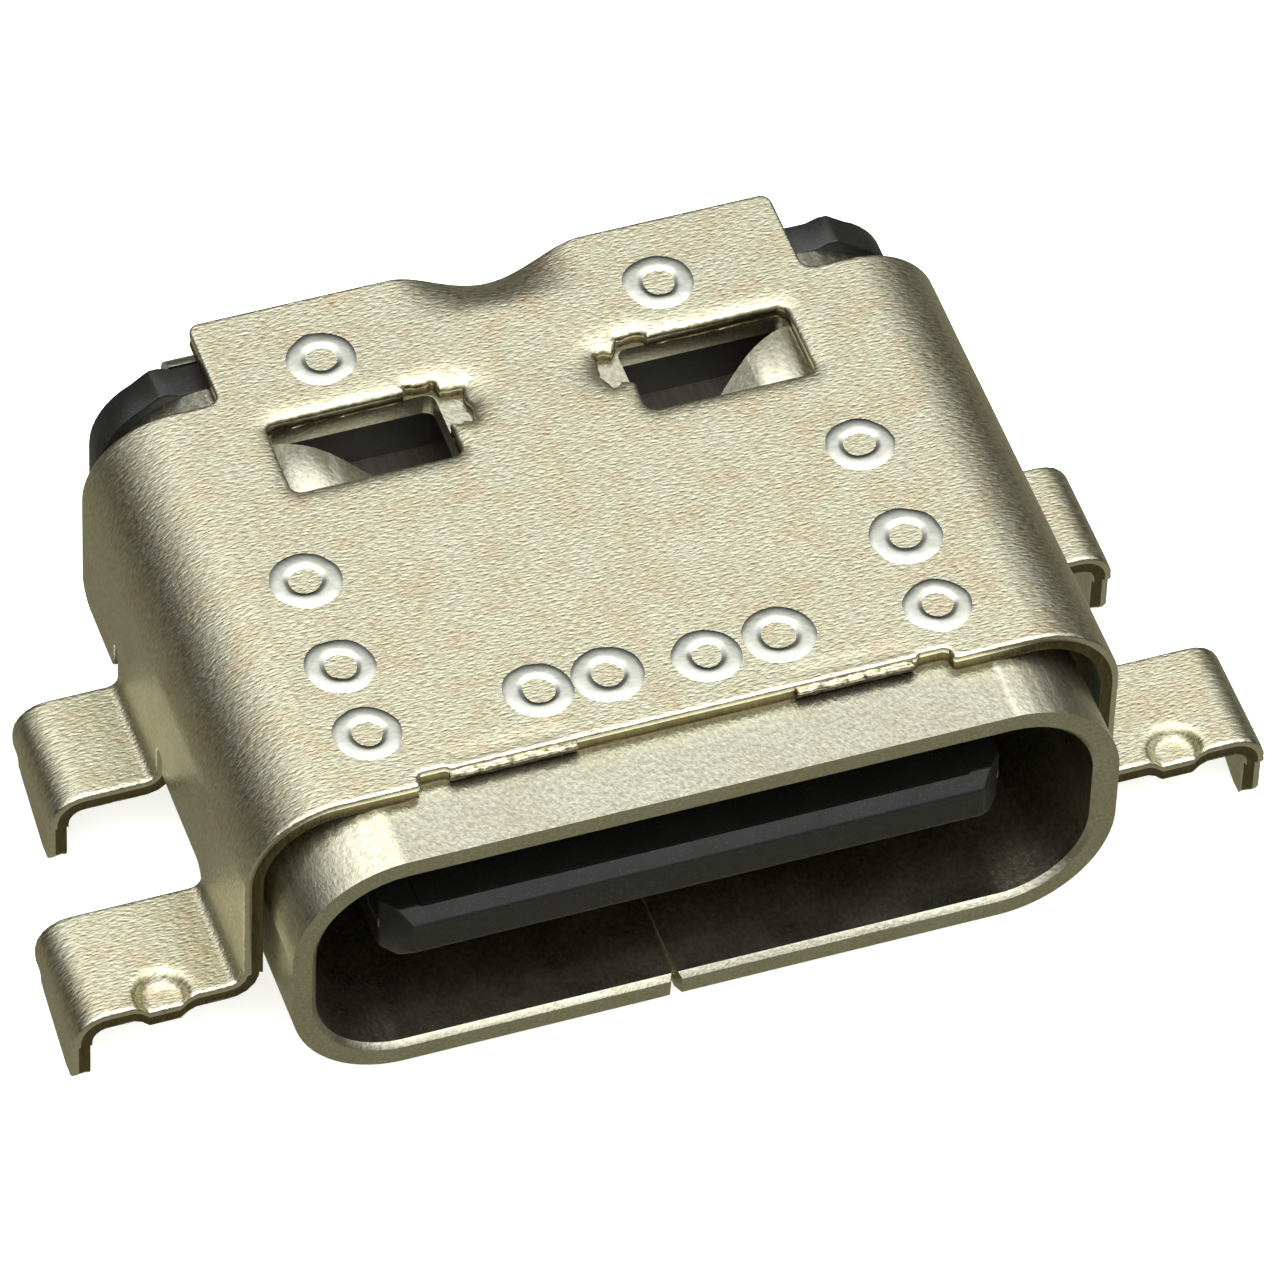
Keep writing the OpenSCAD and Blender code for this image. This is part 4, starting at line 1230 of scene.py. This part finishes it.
class SOCKET_OT_moulding(bpy.types.Operator):
    """Makes the black moulding with soft edges and finishes its insulators"""

    bl_idname = "socket.moulding"
    bl_label = "Moulding"

    def execute(self, context):
        black = moulded_polymer()
        piece = merged_copy("tongue_overmould", "moulded_tongue_and_block")
        soften(piece, 0.025 * MM, 2)
        finish_with(piece, black)
        joined_up(piece, ["tongue_overmould"])
        for node in INSULATORS:
            finish_with(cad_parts[node], black)
        return {"FINISHED"}


class SOCKET_OT_contacts(bpy.types.Operator):
    """Finishes the contacts and plates"""

    bl_idname = "socket.contacts"
    bl_label = "Contacts"

    def execute(self, context):
        gilt = gilt_alloy()
        for node in CONTACTS:
            finish_with(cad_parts[node], gilt)
        strip = rolled_stainless()
        for node in PLATES:
            finish_with(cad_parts[node], strip)
        return {"FINISHED"}


class SOCKET_OT_stage(bpy.types.Operator):
    """Sets out the floor, the lights and the camera"""

    bl_idname = "socket.stage"
    bl_label = "Stage"

    def execute(self, context):
        stage = context.scene.socket_stage
        scene = context.scene
        ahead = Vector(
            (
                math.sin(stage.azimuth) * math.cos(stage.elevation),
                math.cos(stage.azimuth) * math.cos(stage.elevation),
                -math.sin(stage.elevation),
            )
        )
        right = ahead.cross(Vector((0, 0, 1))).normalized()
        turn = Matrix((right, right.cross(ahead), -ahead)).transposed()
        turn = turn @ Matrix.Rotation(stage.roll, 3, "Z")
        camera = bpy.data.objects.new("camera", bpy.data.cameras.new("camera"))
        camera.data.lens = stage.lens
        camera.data.sensor_width = 36
        camera.data.clip_start = 1 * MM
        camera.data.clip_end = 10
        camera.matrix_world = turn.to_4x4()
        camera.location = Vector(stage.aim) - ahead * stage.distance
        scene.collection.objects.link(camera)
        scene.camera = camera

        mesh = bpy.data.meshes.new("floor")
        half = 0.6
        mesh.from_pydata(
            [(-half, -half, FLOOR_Z), (half, -half, FLOOR_Z), (half, half, FLOOR_Z), (-half, half, FLOOR_Z)],
            [],
            [(0, 1, 2, 3)],
        )
        floor = new_piece("floor", mesh)
        finish_with(floor, glowing_paper())
        floor.visible_glossy = False
        scene.world = studio_room()
        scene.view_settings.view_transform = "Standard"

        lamp = bpy.data.lights.new("key softbox", "AREA")
        lamp.shape = "RECTANGLE"
        lamp.size, lamp.size_y = 0.30, 0.20
        lamp.energy = 0.05
        key = bpy.data.objects.new("key softbox", lamp)
        key.location = (0.02, -0.10, 0.32)
        key.rotation_euler = (-key.location).to_track_quat("-Z", "Y").to_euler()
        scene.collection.objects.link(key)
        return {"FINISHED"}


class SOCKET_PT_sidebar(bpy.types.Panel):
    """Lists the pieces and their sizes and colours"""

    bl_idname = "SOCKET_PT_sidebar"
    bl_label = "Cable socket"
    bl_space_type = "VIEW_3D"
    bl_region_type = "UI"
    bl_category = "Socket"

    def draw(self, context):
        for operator in OPERATORS:
            self.layout.operator(operator.bl_idname)
        for group in (context.scene.socket_finish, context.scene.socket_sizes, context.scene.socket_stage):
            box = self.layout.box()
            for name in group.__annotations__:
                box.prop(group, name)


OPERATORS = (
    SOCKET_OT_stage,
    SOCKET_OT_outer_shell,
    SOCKET_OT_weld_spots,
    SOCKET_OT_torn_stubs,
    SOCKET_OT_mouth_tube,
    SOCKET_OT_moulding,
    SOCKET_OT_contacts,
)
GROUPS = (SocketFinish, SocketSizes, SocketStage)


def register():
    for made in GROUPS + OPERATORS + (SOCKET_PT_sidebar,):
        bpy.utils.register_class(made)
    bpy.types.Scene.socket_finish = PointerProperty(type=SocketFinish)
    bpy.types.Scene.socket_sizes = PointerProperty(type=SocketSizes)
    bpy.types.Scene.socket_stage = PointerProperty(type=SocketStage)


def unregister():
    del bpy.types.Scene.socket_stage
    del bpy.types.Scene.socket_sizes
    del bpy.types.Scene.socket_finish
    for made in reversed(GROUPS + OPERATORS + (SOCKET_PT_sidebar,)):
        bpy.utils.unregister_class(made)


def main():
    register()
    bpy.ops.socket.stage()
    bpy.ops.socket.outer_shell()
    bpy.ops.socket.weld_spots()
    bpy.ops.socket.torn_stubs()
    bpy.ops.socket.mouth_tube()
    bpy.ops.socket.moulding()
    bpy.ops.socket.contacts()


if __name__ == "__main__":
    main()
